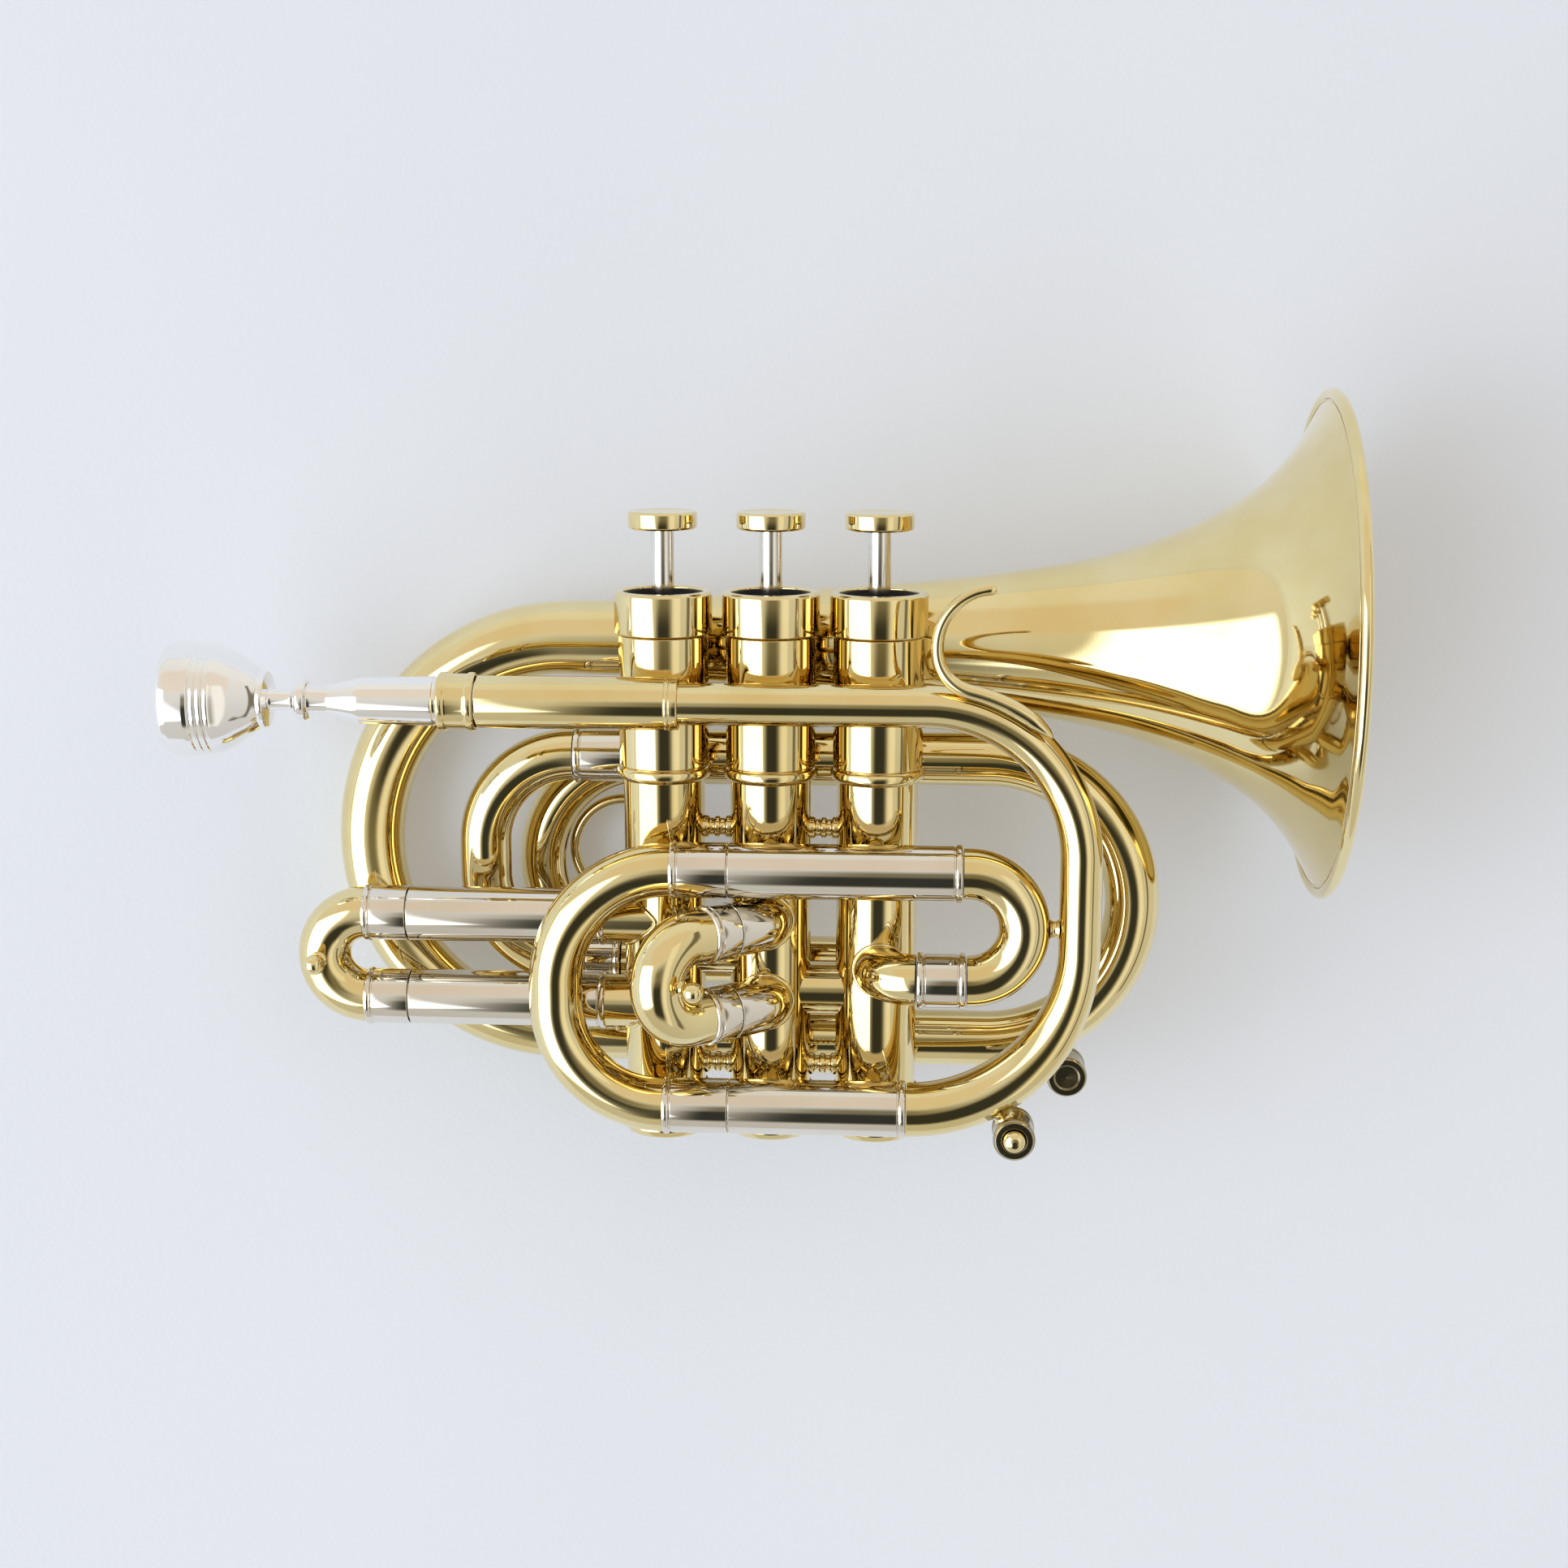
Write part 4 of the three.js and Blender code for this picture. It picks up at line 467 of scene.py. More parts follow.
def arc(centre, size, start, end, steps=6):
    """Points of an arc in a profile; angles in degrees from the radius direction."""
    turned = np.radians(np.linspace(start, end, steps + 1))
    return [(centre[0] + size * math.cos(a), centre[1] + size * math.sin(a)) for a in turned]


print("a bead has", len(bead(6, 0, 1.5, 0.4)), "points")

# %% [markdown]
# ## Polished metal
# Polished brass isn't one colour. The lacquer lets it darken in patches, the polish leaves a fine
# grain and soft swells, and turned pieces keep faint lines round them. All the metals share these, so
# they are one shader group, and each metal sets its own colours and roughness on it.

# %% The group's sockets
def group_node(tree, group):
    node = tree.nodes.new("ShaderNodeGroup")
    node.node_tree = group
    return node


def noise(tree, place, scale, detail):
    """Noise on Object coordinates, with `scale` features to the metre."""
    texture = tree.nodes.new("ShaderNodeTexNoise")
    texture.inputs["Scale"].default_value = scale
    texture.inputs["Detail"].default_value = detail
    tree.links.new(place, texture.inputs["Vector"])
    return texture.outputs["Fac"]


polish = bpy.data.node_groups.new("Polished metal detail", "ShaderNodeTree")
socket(polish, "Clean", "NodeSocketColor", value=(0.8, 0.6, 0.3, 1))
socket(polish, "Tarnished", "NodeSocketColor", value=(0.7, 0.5, 0.2, 1))
for label, value in (("Smoothest", 0.04), ("Roughest", 0.1), ("Waviness", 0.1)):
    socket(polish, label, "NodeSocketFloat", value=value)
for label, kind in (("Color", "Color"), ("Roughness", "Float"), ("Normal", "Vector")):
    socket(polish, label, "NodeSocket" + kind, into="OUTPUT")
print("sockets:", [item.name for item in polish.interface.items_tree])

# %% Patches and grain
TARNISH_SCALE, GRAIN_SCALE, SWELL_SCALE, LATHE_LINES = 55, 900, 90, 2600
links = polish.links
given = polish.nodes.new("NodeGroupInput")
place = polish.nodes.new("ShaderNodeTexCoord").outputs["Object"]
spread = polish.nodes.new("ShaderNodeMapRange")
spread.interpolation_type = "SMOOTHSTEP"
spread.inputs["From Min"].default_value = 0.35
spread.inputs["From Max"].default_value = 0.7
links.new(noise(polish, place, TARNISH_SCALE, 4), spread.inputs["Value"])
tint = polish.nodes.new("ShaderNodeMix")
tint.data_type = "RGBA"
links.new(spread.outputs["Result"], tint.inputs[0])
links.new(given.outputs["Clean"], tint.inputs[6])
links.new(given.outputs["Tarnished"], tint.inputs[7])
rough = polish.nodes.new("ShaderNodeMix")
rough.data_type = "FLOAT"
links.new(noise(polish, place, GRAIN_SCALE, 3), rough.inputs[0])
links.new(given.outputs["Smoothest"], rough.inputs[2])
links.new(given.outputs["Roughest"], rough.inputs[3])
print("tarnish patches are about", round(1000 / TARNISH_SCALE), "mm wide")

# %% [markdown]
# The swells and the lathe's lines are only bumps. The lines are noise in one dimension, along the
# distance that each tube and turned piece stores on its points, so they always run round the piece.

# %% Swells and lathe lines
swell = polish.nodes.new("ShaderNodeBump")
swell.inputs["Distance"].default_value = 0.0002
links.new(given.outputs["Waviness"], swell.inputs["Strength"])
links.new(noise(polish, place, SWELL_SCALE, 1), swell.inputs["Height"])
along = polish.nodes.new("ShaderNodeAttribute")
along.attribute_name = "along"
lines = polish.nodes.new("ShaderNodeTexNoise")
lines.noise_dimensions = "1D"
lines.inputs["Scale"].default_value = LATHE_LINES
lines.inputs["Detail"].default_value = 2
links.new(along.outputs["Fac"], lines.inputs["W"])
turning = polish.nodes.new("ShaderNodeBump")
turning.inputs["Strength"].default_value = 0.04
turning.inputs["Distance"].default_value = 0.00002
links.new(lines.outputs["Fac"], turning.inputs["Height"])
links.new(swell.outputs["Normal"], turning.inputs["Normal"])
result = polish.nodes.new("NodeGroupOutput")
links.new(tint.outputs[2], result.inputs["Color"])
links.new(rough.outputs[0], result.inputs["Roughness"])
links.new(turning.outputs["Normal"], result.inputs["Normal"])
print("metal detail group:", len(polish.nodes), "nodes")

# %% [markdown]
# ## A metal
# Each metal is a Principled shader. What is the same all over sits on its own sockets, and what
# varies comes from the shared group. Brass wears a clear lacquer, which is the coat. Where a metal
# is seen in another polished piece, a Light Path node multiplies its colour by a deeper, darker tint,
# on reflected rays alone: painted shade in the reflections between parts.

# %% Mixing a metal
LACQUER_ROUGHNESS = 0.02


def metal(name, slot_name, clean, tarnished, smoothest, roughest, waviness, coat=0.0, reflected_shade=None):
    """Mixes a metal; its last colour is a painted shade, the darker tint it takes where other metal
    reflects it.
    """
    made = bpy.data.materials.new(name)
    made.use_nodes = True
    tree = made.node_tree
    shader = tree.nodes["Principled BSDF"]
    shader.inputs["Metallic"].default_value = 1.0
    shader.inputs["Coat Weight"].default_value = coat
    shader.inputs["Coat Roughness"].default_value = LACQUER_ROUGHNESS
    detail = group_node(tree, polish)
    detail.inputs["Clean"].default_value = (*clean, 1)
    detail.inputs["Tarnished"].default_value = (*tarnished, 1)
    detail.inputs["Smoothest"].default_value = smoothest
    detail.inputs["Roughest"].default_value = roughest
    detail.inputs["Waviness"].default_value = waviness
    colour = detail.outputs["Color"]
    # Painted shade: rays reflected off other metal see this metal in a darker, deeper tint.
    if reflected_shade:
        ray = tree.nodes.new("ShaderNodeLightPath")
        tint = tree.nodes.new("ShaderNodeMix")
        tint.data_type = "RGBA"
        tint.blend_type = "MULTIPLY"
        tint.inputs[7].default_value = (*reflected_shade, 1)
        tree.links.new(ray.outputs["Is Glossy Ray"], tint.inputs[0])
        tree.links.new(colour, tint.inputs[6])
        colour = tint.outputs[2]
    tree.links.new(colour, shader.inputs["Base Color"])
    tree.links.new(detail.outputs["Roughness"], shader.inputs["Roughness"])
    tree.links.new(detail.outputs["Normal"], shader.inputs["Normal"])
    FINISHES[name] = made


print("the lacquer's roughness is", LACQUER_ROUGHNESS)

# %% [markdown]
# ## The trumpet's metals
# The body is lacquered brass, a little softer in shine on the spun bell. Slide tubes and ferrules are
# nickel silver, the mouthpiece is silver plate, and the water keys have an aged, dark barrel.

# %% Brass, nickel, silver and steel
# The last colours given to brass and nickel are painted shade: darker tints for them as seen in other
# metal.
BRASS_LIGHT, BRASS_DEEP, REFLECTED_SHADE_TINT = (0.87, 0.75, 0.41), (0.83, 0.69, 0.33), (0.78, 0.67, 0.42)
metal("brass", "lacquered_brass", BRASS_LIGHT, BRASS_DEEP, 0.02, 0.05, 0.03, 0.35, REFLECTED_SHADE_TINT)
metal("brass_bell", "lacquered_brass", BRASS_LIGHT, BRASS_DEEP, 0.03, 0.07, 0.02, 0.35, REFLECTED_SHADE_TINT)
metal("nickel", "nickel_silver", (0.84, 0.81, 0.74), (0.80, 0.76, 0.68), 0.02, 0.06, 0.02,
      reflected_shade=(0.8, 0.77, 0.7))
metal("silver", "silver_plate", (0.97, 0.97, 0.965), (0.93, 0.925, 0.91), 0.02, 0.05, 0.01)
metal("steel", "steel", (0.70, 0.70, 0.71), (0.60, 0.60, 0.60), 0.10, 0.22, 0.02)
metal("piston_nickel", "nickel_silver", (0.75, 0.74, 0.72), (0.66, 0.65, 0.62), 0.15, 0.3, 0.02)
metal("aged_brass", "dark_steel", (0.44, 0.39, 0.26), (0.32, 0.28, 0.18), 0.08, 0.2, 0.1)
metal("stem_silver", "steel", (0.86, 0.85, 0.82), (0.78, 0.77, 0.74), 0.12, 0.2, 0.02)
print("metals:", sorted(FINISHES))

# %% [markdown]
# ## Felt
# The caps hold a dark felt ring that quietens the stroke. Felt is matt and a little hairy: noise
# colours the fibres and lifts them, and a sheen catches light at the edge.

# %% Felt
felt = bpy.data.materials.new("felt")
felt.use_nodes = True
tree = felt.node_tree
shader = tree.nodes["Principled BSDF"]
shader.inputs["Roughness"].default_value = 0.95
shader.inputs["Sheen Weight"].default_value = 0.3
place = tree.nodes.new("ShaderNodeTexCoord").outputs["Object"]
fibres = noise(tree, place, 1800, 6)
fibre_colour = tree.nodes.new("ShaderNodeValToRGB")
fibre_colour.color_ramp.elements[0].color = (0.006, 0.006, 0.006, 1)
fibre_colour.color_ramp.elements[1].color = (0.04, 0.035, 0.03, 1)
nap = tree.nodes.new("ShaderNodeBump")
nap.inputs["Strength"].default_value = 0.6
nap.inputs["Distance"].default_value = 0.0002
tree.links.new(fibres, fibre_colour.inputs["Fac"])
tree.links.new(fibre_colour.outputs["Color"], shader.inputs["Base Color"])
tree.links.new(fibres, nap.inputs["Height"])
tree.links.new(nap.outputs["Normal"], shader.inputs["Normal"])
FINISHES["felt"] = felt
print("finishes:", sorted(FINISHES))

# %% [markdown]
# ## Valve casings
# The casing is a drawn brass tube. Its upper part is a little wider and has the thread for the cap at
# its top, and a round bead hides the joint between the two. One profile on the lathe gives it all.

# %% A casing
CASING_UPPER_R, CASING_INSIDE_R, CASING_FOOT, CASING_TOP = 10.45, 8.6, 3.0, 122.7
BALUSTER, SHOULDER, THREAD_R = 86.2, 120.0, 9.6
BEAD_WIDTH, BEAD_PROUD = 2.8, 0.85


def casing(number, foot):
    lathe(f"valve_casing_{number}", [
        (CASING_INSIDE_R, CASING_FOOT), (CASING_R, CASING_FOOT), (CASING_R, BALUSTER - 0.2),
        (CASING_R + 0.25, BALUSTER),
        *bead(CASING_UPPER_R - 0.25, BALUSTER + 0.2, BEAD_WIDTH, BEAD_PROUD, 10),
        (CASING_UPPER_R, BALUSTER + 3.3), (CASING_UPPER_R, SHOULDER - 0.3),
        (CASING_UPPER_R - 0.2, SHOULDER), (THREAD_R, SHOULDER), (THREAD_R, CASING_TOP),
        (CASING_INSIDE_R, CASING_TOP),
    ], foot, Y, "brass", "instrument", f"casing_{number}", closed=True, soft=0.12)


print("casing height:", CASING_TOP - CASING_FOOT, "mm")

# %% [markdown]
# ## Caps
# The top cap is an open cup that the stem goes through, so its well is hollow and its floor has a
# hole; the felt lies on that floor and lines the well. The bottom cap is closed but for an air hole.

# %% Top cap, felt and bottom cap
CAP_R, CAP_WELL_R, CAP_FOOT, CAP_TOP = 11.35, 9.2, 120.2, 130.1
FLOOR_BELOW, FLOOR_ABOVE, STEM_HOLE_R = 123.0, 126.6, 3.3
FELT_R, FELT_LINING_R, FELT_FOOT, FELT_TOP = 9.1, 8.5, 126.75, 129.6
BOTTOM_CAP_R, AIR_HOLE_R = 10.35, 2.0


def top_cap(number, foot):
    lathe(f"valve_top_cap_{number}", [
        (9.9, CAP_FOOT), (CAP_R - 0.25, CAP_FOOT), (CAP_R, CAP_FOOT + 0.25), (CAP_R, CAP_TOP - 0.7),
        (CAP_R - 0.5, CAP_TOP), (9.5, CAP_TOP), (CAP_WELL_R, CAP_TOP - 0.3), (CAP_WELL_R, FLOOR_ABOVE),
        (STEM_HOLE_R, FLOOR_ABOVE), (STEM_HOLE_R, FLOOR_BELOW), (9.9, FLOOR_BELOW),
    ], foot, Y, "brass", "instrument", f"top_cap_{number}", closed=True, soft=0.3)
    lathe(f"cap_felt_{number}", [
        (STEM_HOLE_R + 0.1, FELT_FOOT), (FELT_R, FELT_FOOT), (FELT_R, FELT_TOP),
        (FELT_LINING_R + 0.1, FELT_TOP), (FELT_LINING_R, FELT_TOP - 0.3),
        (FELT_LINING_R, FELT_FOOT + 0.35), (STEM_HOLE_R + 0.1, FELT_FOOT + 0.35),
    ], foot, Y, "felt", "instrument", closed=True, soft=0.5)


def bottom_cap(number, foot):
    lathe(f"valve_bottom_cap_{number}", [
        (AIR_HOLE_R, 0.05), (8.4, 0.05), (9.7, 0.6), (BOTTOM_CAP_R - 0.05, 1.9), (BOTTOM_CAP_R, 2.4),
        (BOTTOM_CAP_R - 0.2, 2.6), (BOTTOM_CAP_R - 0.2, 3.0), (BOTTOM_CAP_R, 3.2), (BOTTOM_CAP_R, 11.4),
        (10.1, 11.95), (9.8, 11.95), (9.8, 2.5), (AIR_HOLE_R, 2.5),
    ], foot, Y, "brass", "instrument", f"bottom_cap_{number}", closed=True, soft=0.3)


print("the felt lining is", round(FELT_TOP - FLOOR_ABOVE, 2), "mm high")

# %% [markdown]
# ## Stem and finger button
# These move with the valve. The button's top is dished a little for the fingertip, and its edge is
# rounded, which gives the bright line round it.

# %% Stem and button
STEM_R, STEM_FOOT, STEM_SHOULDER, STEM_PIN_R = 2.65, 120.6, 144.2, 1.5
BUTTON_R, BUTTON_GAP = 8.0, 0.02


def stem_and_button(number, foot):
    lathe(f"valve_stem_{number}", [
        (0.4, STEM_FOOT), (STEM_PIN_R, STEM_FOOT), (STEM_PIN_R, 123.0), (STEM_R, 123.2),
        (STEM_R, STEM_SHOULDER - 0.3), (STEM_R - 0.2, STEM_SHOULDER), (STEM_PIN_R, BUTTON_FOOT),
        (STEM_PIN_R, 146.6), (0.4, 146.6),
    ], foot, Y, "stem_silver", f"valve_{number}", f"stem_{number}", sides=64, soft=0.1)
    lathe(f"finger_button_{number}", [
        (0.05, BUTTON_FOOT + BUTTON_GAP), (7.4, BUTTON_FOOT + BUTTON_GAP), (BUTTON_R, BUTTON_FOOT + 0.5),
        (BUTTON_R, BUTTON_TOP - 0.55), (7.5, BUTTON_TOP - 0.05), (6.6, BUTTON_TOP - 0.12),
        (5.6, BUTTON_TOP - 0.3), (0.05, BUTTON_TOP - 0.45),
    ], foot, Y, "brass", f"valve_{number}", f"button_{number}", soft=0.25)


print("button thickness:", round(BUTTON_TOP - BUTTON_FOOT, 2), "mm")

# %% [markdown]
# ## The three valves
# All three valves are alike, so one loop makes them, each at its own place along X.

# %% Making the valves
for number, place in VALVES.items():
    foot = (place, 0, 0)
    casing(number, foot)
    top_cap(number, foot)
    bottom_cap(number, foot)
    stem_and_button(number, foot)
print("valves made:", len(VALVES))

# %% [markdown]
# ## Between the casings
# Short turned braces hold the casings apart, two in each gap. The knuckles are the short tubes that
# carry the air from one valve to the next, a little higher in the first gap than in the second.

# %% Braces and knuckles
BRACE_GAPS = (("12", -12.5), ("23", 12.5))
BRACE_HEIGHTS = (("lower", 16.7), ("upper", 74.4))
BRACE_PROFILE = [
    (1.5, -3.7), (2.6, -3.7), (2.6, -2.3), (2.4, -2.0), (2.0, -1.8), (2.0, -0.7), (2.45, -0.5),
    (2.45, 0.5), (2.0, 0.7), (2.0, 1.8), (2.4, 2.0), (2.6, 2.3), (2.6, 3.7), (1.5, 3.7),
]
KNUCKLES = (("12", 45.0, 1), ("23", 35.5, 2))
KNUCKLE_START, KNUCKLE_LENGTH, KNUCKLE_WALL = 7.1, 10.8, 0.7
for pair, middle in BRACE_GAPS:
    for level, height in BRACE_HEIGHTS:
        lathe(f"brace_{pair}_{level}", BRACE_PROFILE, (middle, height, 0), X, "brass", "instrument",
              f"valve_brace_{pair}_{level}", sides=64, soft=0.2)
for pair, height, left in KNUCKLES:
    run = Path((VALVES[left] + KNUCKLE_START, height, 0), X).straight(KNUCKLE_LENGTH, step=0.6)
    sweep_tube(f"knuckle_tube_{pair}", run, TUBE_R, "brass", "instrument", f"knuckle_{pair}",
               wall=KNUCKLE_WALL, into=(left, left + 1))
print("braces:", len(BRACE_GAPS) * len(BRACE_HEIGHTS), "knuckles:", len(KNUCKLES))

# %% [markdown]
# ## Rims of ferrules and slides
# A ferrule is a sleeve over a joint. Its end has a round bead with a fine groove beside it, which on
# the real trumpet is what the eye follows along the slides. The bead and the groove are part of the
# profile, so they catch the light as real ones do.

# %% Ferrules, outer tubes and slide legs
RING_WIDTH, RING_PROUD, GROOVE_DEEP = 1.5, 0.35, 0.15


def end_ring(radius_here, place, inwards):
    """A bead at a tube's end, with a fine groove on the side that `inwards` points to."""
    groove = radius_here - GROOVE_DEEP
    turned = [(r, place + inwards * away) for r, away in ((radius_here, 2.0), (groove, 1.9), (groove, 1.6))]
    round_part = bead(radius_here, 0, RING_WIDTH - 0.05, RING_PROUD)
    return turned + [(r, place + inwards * (RING_WIDTH - away)) for r, away in round_part]


def slide_leg(name, mouth, direction, ferrule_length, insert, size, metal, body):
    """A slide's ferrule with its bead at the bow, and the tube that runs inside the outer one."""
    bore, tube = size - 1.3, size - 0.8
    ring = end_ring(size, 0.0, 1)[::-1]
    profile = [(bore, 0.0), (size - 0.1, 0.0), *ring[1:], (size, ferrule_length - 0.1),
               (size - 0.15, ferrule_length), (tube, ferrule_length), (tube, ferrule_length + insert),
               (bore, ferrule_length + insert)]
    lathe(name, profile, mouth, direction, metal, body, closed=True, soft=0.05)


def outer_tube(name, mouth, direction, length, size, metal, node):
    """The fixed tube that a slide runs in, with its ring at the far end."""
    profile = [(size - 0.5, 0.15), (size - 0.15, 0.0), (size, 0.12), *end_ring(size, length, -1),
               (size - 0.5, length)]
    lathe(name, profile, mouth, direction, metal, "instrument", node, closed=True, soft=0.05)


def ferrule(name, start, direction, length, size, node, both=True):
    """A sleeve with a ring at its start, and at its end too unless `both` is off."""
    first = [(r, length - p) for r, p in end_ring(size, length, -1)][::-1]
    last = end_ring(size, length, -1) if both else [(size, length - 0.1), (size - 0.1, length)]
    profile = [(5.6, 0.0), *first, *last, (5.6, length)]
    lathe(name, profile, start, direction, "nickel", "instrument", node, closed=True, soft=0.05)


print("ring profile points:", len(end_ring(OUTER_R, 0, 1)))

# %% [markdown]
# ## Where a tube meets a casing
# Solder leaves a thin rim there. It follows the curve in which two round tubes meet, and that curve
# has a formula: from each point of the tube's circle, go along the tube until the casing is reached.

# %% A solder rim
RIM_POINTS = 72


def solder_rim(name, valve, height, facing, size, offset=(0, 0), thick=0.5):
    facing = np.array(facing, float) / np.linalg.norm(facing)
    side = np.cross(Y, facing)
    rim = []
    for angle in np.linspace(0, 2 * math.pi, RIM_POINTS, endpoint=False):
        place = np.array([VALVES[valve] + offset[0], height, offset[1]])
        place = place + size * (math.cos(angle) * side + math.sin(angle) * Y)
        across = np.array([place[0] - VALVES[valve], place[2]])
        dot = across @ facing[[0, 2]]
        inside = max(dot * dot - across @ across + CASING_R * CASING_R, 0.0)
        rim.append(place + facing * (-dot + math.sqrt(inside)))
    sweep_tube(name, rim, thick, "brass", "instrument", sides=12, closed=True)


print("points round a rim:", RIM_POINTS)

# %% [markdown]
# ## Pull knobs
# A slide that has no ring is drawn by a small ball on a waisted stem.

# %% A pull knob
KNOB_R, KNOB_HEIGHT = 2.45, 4.7


def knob(name, foot, axis, body):
    profile = [(0.02, -0.3), (2.1, -0.3), (1.9, 0.5), (1.25, 0.95), (1.0, 1.6), (1.05, 2.2),
               *arc((0.0, KNOB_HEIGHT), KNOB_R, -62, 89, 12)]
    lathe(name, profile, foot, axis, "brass", body, sides=48, soft=0.15)


print("knob height:", KNOB_R + KNOB_HEIGHT, "mm")

# %% [markdown]
# ## The bell
# The bell is spun from sheet over a mandrel, and its rim is rolled over a wire. The flare's radii are
# the CAD's, as shares of the rim's radius and of the bell's length. A smooth curve goes through them.
# The profile runs along the outside, round the rolled rim, and back along the inside, so the wall has
# a real thickness.

# %% A smooth curve through profile points
def through(points, steps=8):
    """A smooth curve through profile points."""
    points = np.asarray(points, float)
    ahead = np.vstack([2 * points[0] - points[1], points, 2 * points[-1] - points[-2]])
    out = []
    for a, b, c, d in zip(ahead, ahead[1:], ahead[2:], ahead[3:]):
        spans = [max(np.linalg.norm(q - p), 1e-6) ** 0.5 for p, q in ((a, b), (b, c), (c, d))]
        knots = np.cumsum([0] + spans)
        for t in np.linspace(knots[1], knots[2], steps, endpoint=False):
            first = [p + (q - p) * (t - s) / (e - s) for p, q, s, e in
                     ((a, b, knots[0], knots[1]), (b, c, knots[1], knots[2]), (c, d, knots[2], knots[3]))]
            second = [p + (q - p) * (t - s) / (e - s) for p, q, s, e in
                      ((first[0], first[1], knots[0], knots[2]), (first[1], first[2], knots[1], knots[3]))]
            out.append(second[0] + (second[1] - second[0]) * (t - knots[1]) / (knots[2] - knots[1]))
    out.append(points[-1])
    return np.array(out)


print("points through three places:", len(through([(1, 0), (2, 1), (4, 2)])))

# %% Bell
TAIL_X, TAIL_BEND, LOW_Y = -51.0, 48.5, 18.4
BELL_X, BELL_RIM_X, BELL_R, BELL_WALL = -37.0, 130.8, 61.2, 0.9
WIRE_R, WIRE_CENTRE_R = 1.5, 59.25
BELL_Y = LOW_Y + 2 * TAIL_BEND
FLARE_SHARES = [
    (0.1555, 0), (0.18, 0.161), (0.23, 0.409), (0.2565, 0.5013), (0.2925, 0.593), (0.33, 0.6675),
    (0.3725, 0.7272), (0.433, 0.787), (0.513, 0.8465), (0.621, 0.9058), (0.743, 0.9478),
    (0.866, 0.9776), (0.95, 0.9930),
]
BELL_LENGTH = BELL_RIM_X - BELL_X
flare = through([(radius * BELL_R, place * BELL_LENGTH) for radius, place in FLARE_SHARES], 7)
slope = np.gradient(flare, axis=0)
slope /= np.linalg.norm(slope, axis=1)[:, None]
inside = flare + BELL_WALL * np.stack([-slope[:, 1], slope[:, 0]], 1)
inside[0, 1] = 0
rim = arc((WIRE_CENTRE_R, BELL_LENGTH - 0.3), WIRE_R, -142, 163, 20)
bell_start = (BELL_X, BELL_Y, BELL_Z)
lathe("bell_flare", [*flare, *rim, *inside[::-1]], bell_start, X, "brass_bell", "instrument", "bell",
      sides=224, soft=0, closed=True, sharp=60)
print("bell axis height:", BELL_Y, "bell profile points:", 2 * len(flare) + len(rim))

# %% [markdown]
# Two thin rings finish the bell: the seam where the rolled rim closes, and the band over the joint
# between the bell and its tail.

# %% Rim seam and joint ring
SEAM_R, JOINT_WIDTH = 0.22, 1.3
lathe("bell_rim_seam", arc((57.75, BELL_LENGTH - WIRE_R), SEAM_R, 0, 320, 8), bell_start, X, "brass",
      "instrument", sides=224, soft=0, closed=True)
lathe("bell_joint_ring", [
    (9.1, -0.1), (9.75, -0.1), (10.0, 0.3), (10.0, 0.9), (9.75, JOINT_WIDTH), (9.1, JOINT_WIDTH),
], bell_start, X, "brass", "instrument", closed=True, soft=0.15)
print("joint ring:", JOINT_WIDTH, "mm wide")

# %% [markdown]
# ## The tail
# Behind the valves the bell goes on as a half-turn bow that widens all the way. It also leans away
# from the valves as it rises, because the bell lies further back than the run below it. So the path
# is laid flat first, and then its points are moved back by how far they have risen.

# %% Tail crook
TAIL_R, TAIL_WIDENS, TAIL_WALL, JOINT_GAP = 6.7, 2.5, 0.9, 0.15
tail = Path((TAIL_X - JOINT_GAP, LOW_Y, BACK_Z), -X).bend(TAIL_BEND, math.pi, Y).straight(13.7)
tail_points = np.array(tail.points)
risen = smooth((tail_points[:, 1] - LOW_Y) / (BELL_Y - LOW_Y))
tail_points[:, 2] += (BELL_Z - BACK_Z) * risen
share = tail.lengths() / tail.lengths()[-1]
sweep_tube("tail_crook", tail_points, TAIL_R + TAIL_WIDENS * share, "brass", "instrument", "tail_bow",
           sides=64, wall=TAIL_WALL)
print("tail length:", round(float(tail.lengths()[-1]), 1), "mm")

# %% [markdown]
# ## From the first valve to the tail
# The air leaves the first valve through an elbow, turns up in a small bow, crosses to the bell side
# and comes back in a large half turn, the far loop. Nickel ferrules cover its joints.

# %% Far loop and exit bow
LOOP_X, RUN_Y, LOOP_BEND, LOOP_WIDENS, LOOP_WALL = 51.6, 88.0, 34.8, 0.75, 0.6
EXIT_Y, EXIT_BEND, EXIT_WALL, FERRULE_R = 36.5, 21.9, 0.7, 6.5
loop = Path((-36.2, RUN_Y, BACK_Z), X).straight(LOOP_X + 36.2).bend(LOOP_BEND, math.pi, -Y)
loop.straight(LOOP_X - TAIL_X - JOINT_GAP)
share = loop.lengths() / loop.lengths()[-1]
sweep_tube("far_loop_tube", loop, TUBE_R + LOOP_WIDENS * share, "brass", "instrument", "far_loop",
           sides=64, wall=LOOP_WALL)
bow = Path((-48.1, EXIT_Y, BACK_Z), -X).straight(0.9).bend(EXIT_BEND, math.pi / 2, Y).straight(7.7)
bow.bend(EXIT_BEND, math.pi / 2, X).straight(0.2)
sweep_tube("exit_bow_tube", bow, TUBE_R, "brass", "instrument", "exit_bow", wall=EXIT_WALL)
ferrule("upper_crook_ferrule", (-48.5, RUN_Y, BACK_Z), X, 12, FERRULE_R, "upper_ferrule", both=False)
ferrule("exit_crook_ferrule", (-47.8, EXIT_Y, BACK_Z), X, 10.2, FERRULE_R, "exit_ferrule")
print("far loop length:", round(float(loop.lengths()[-1]), 1), "mm")

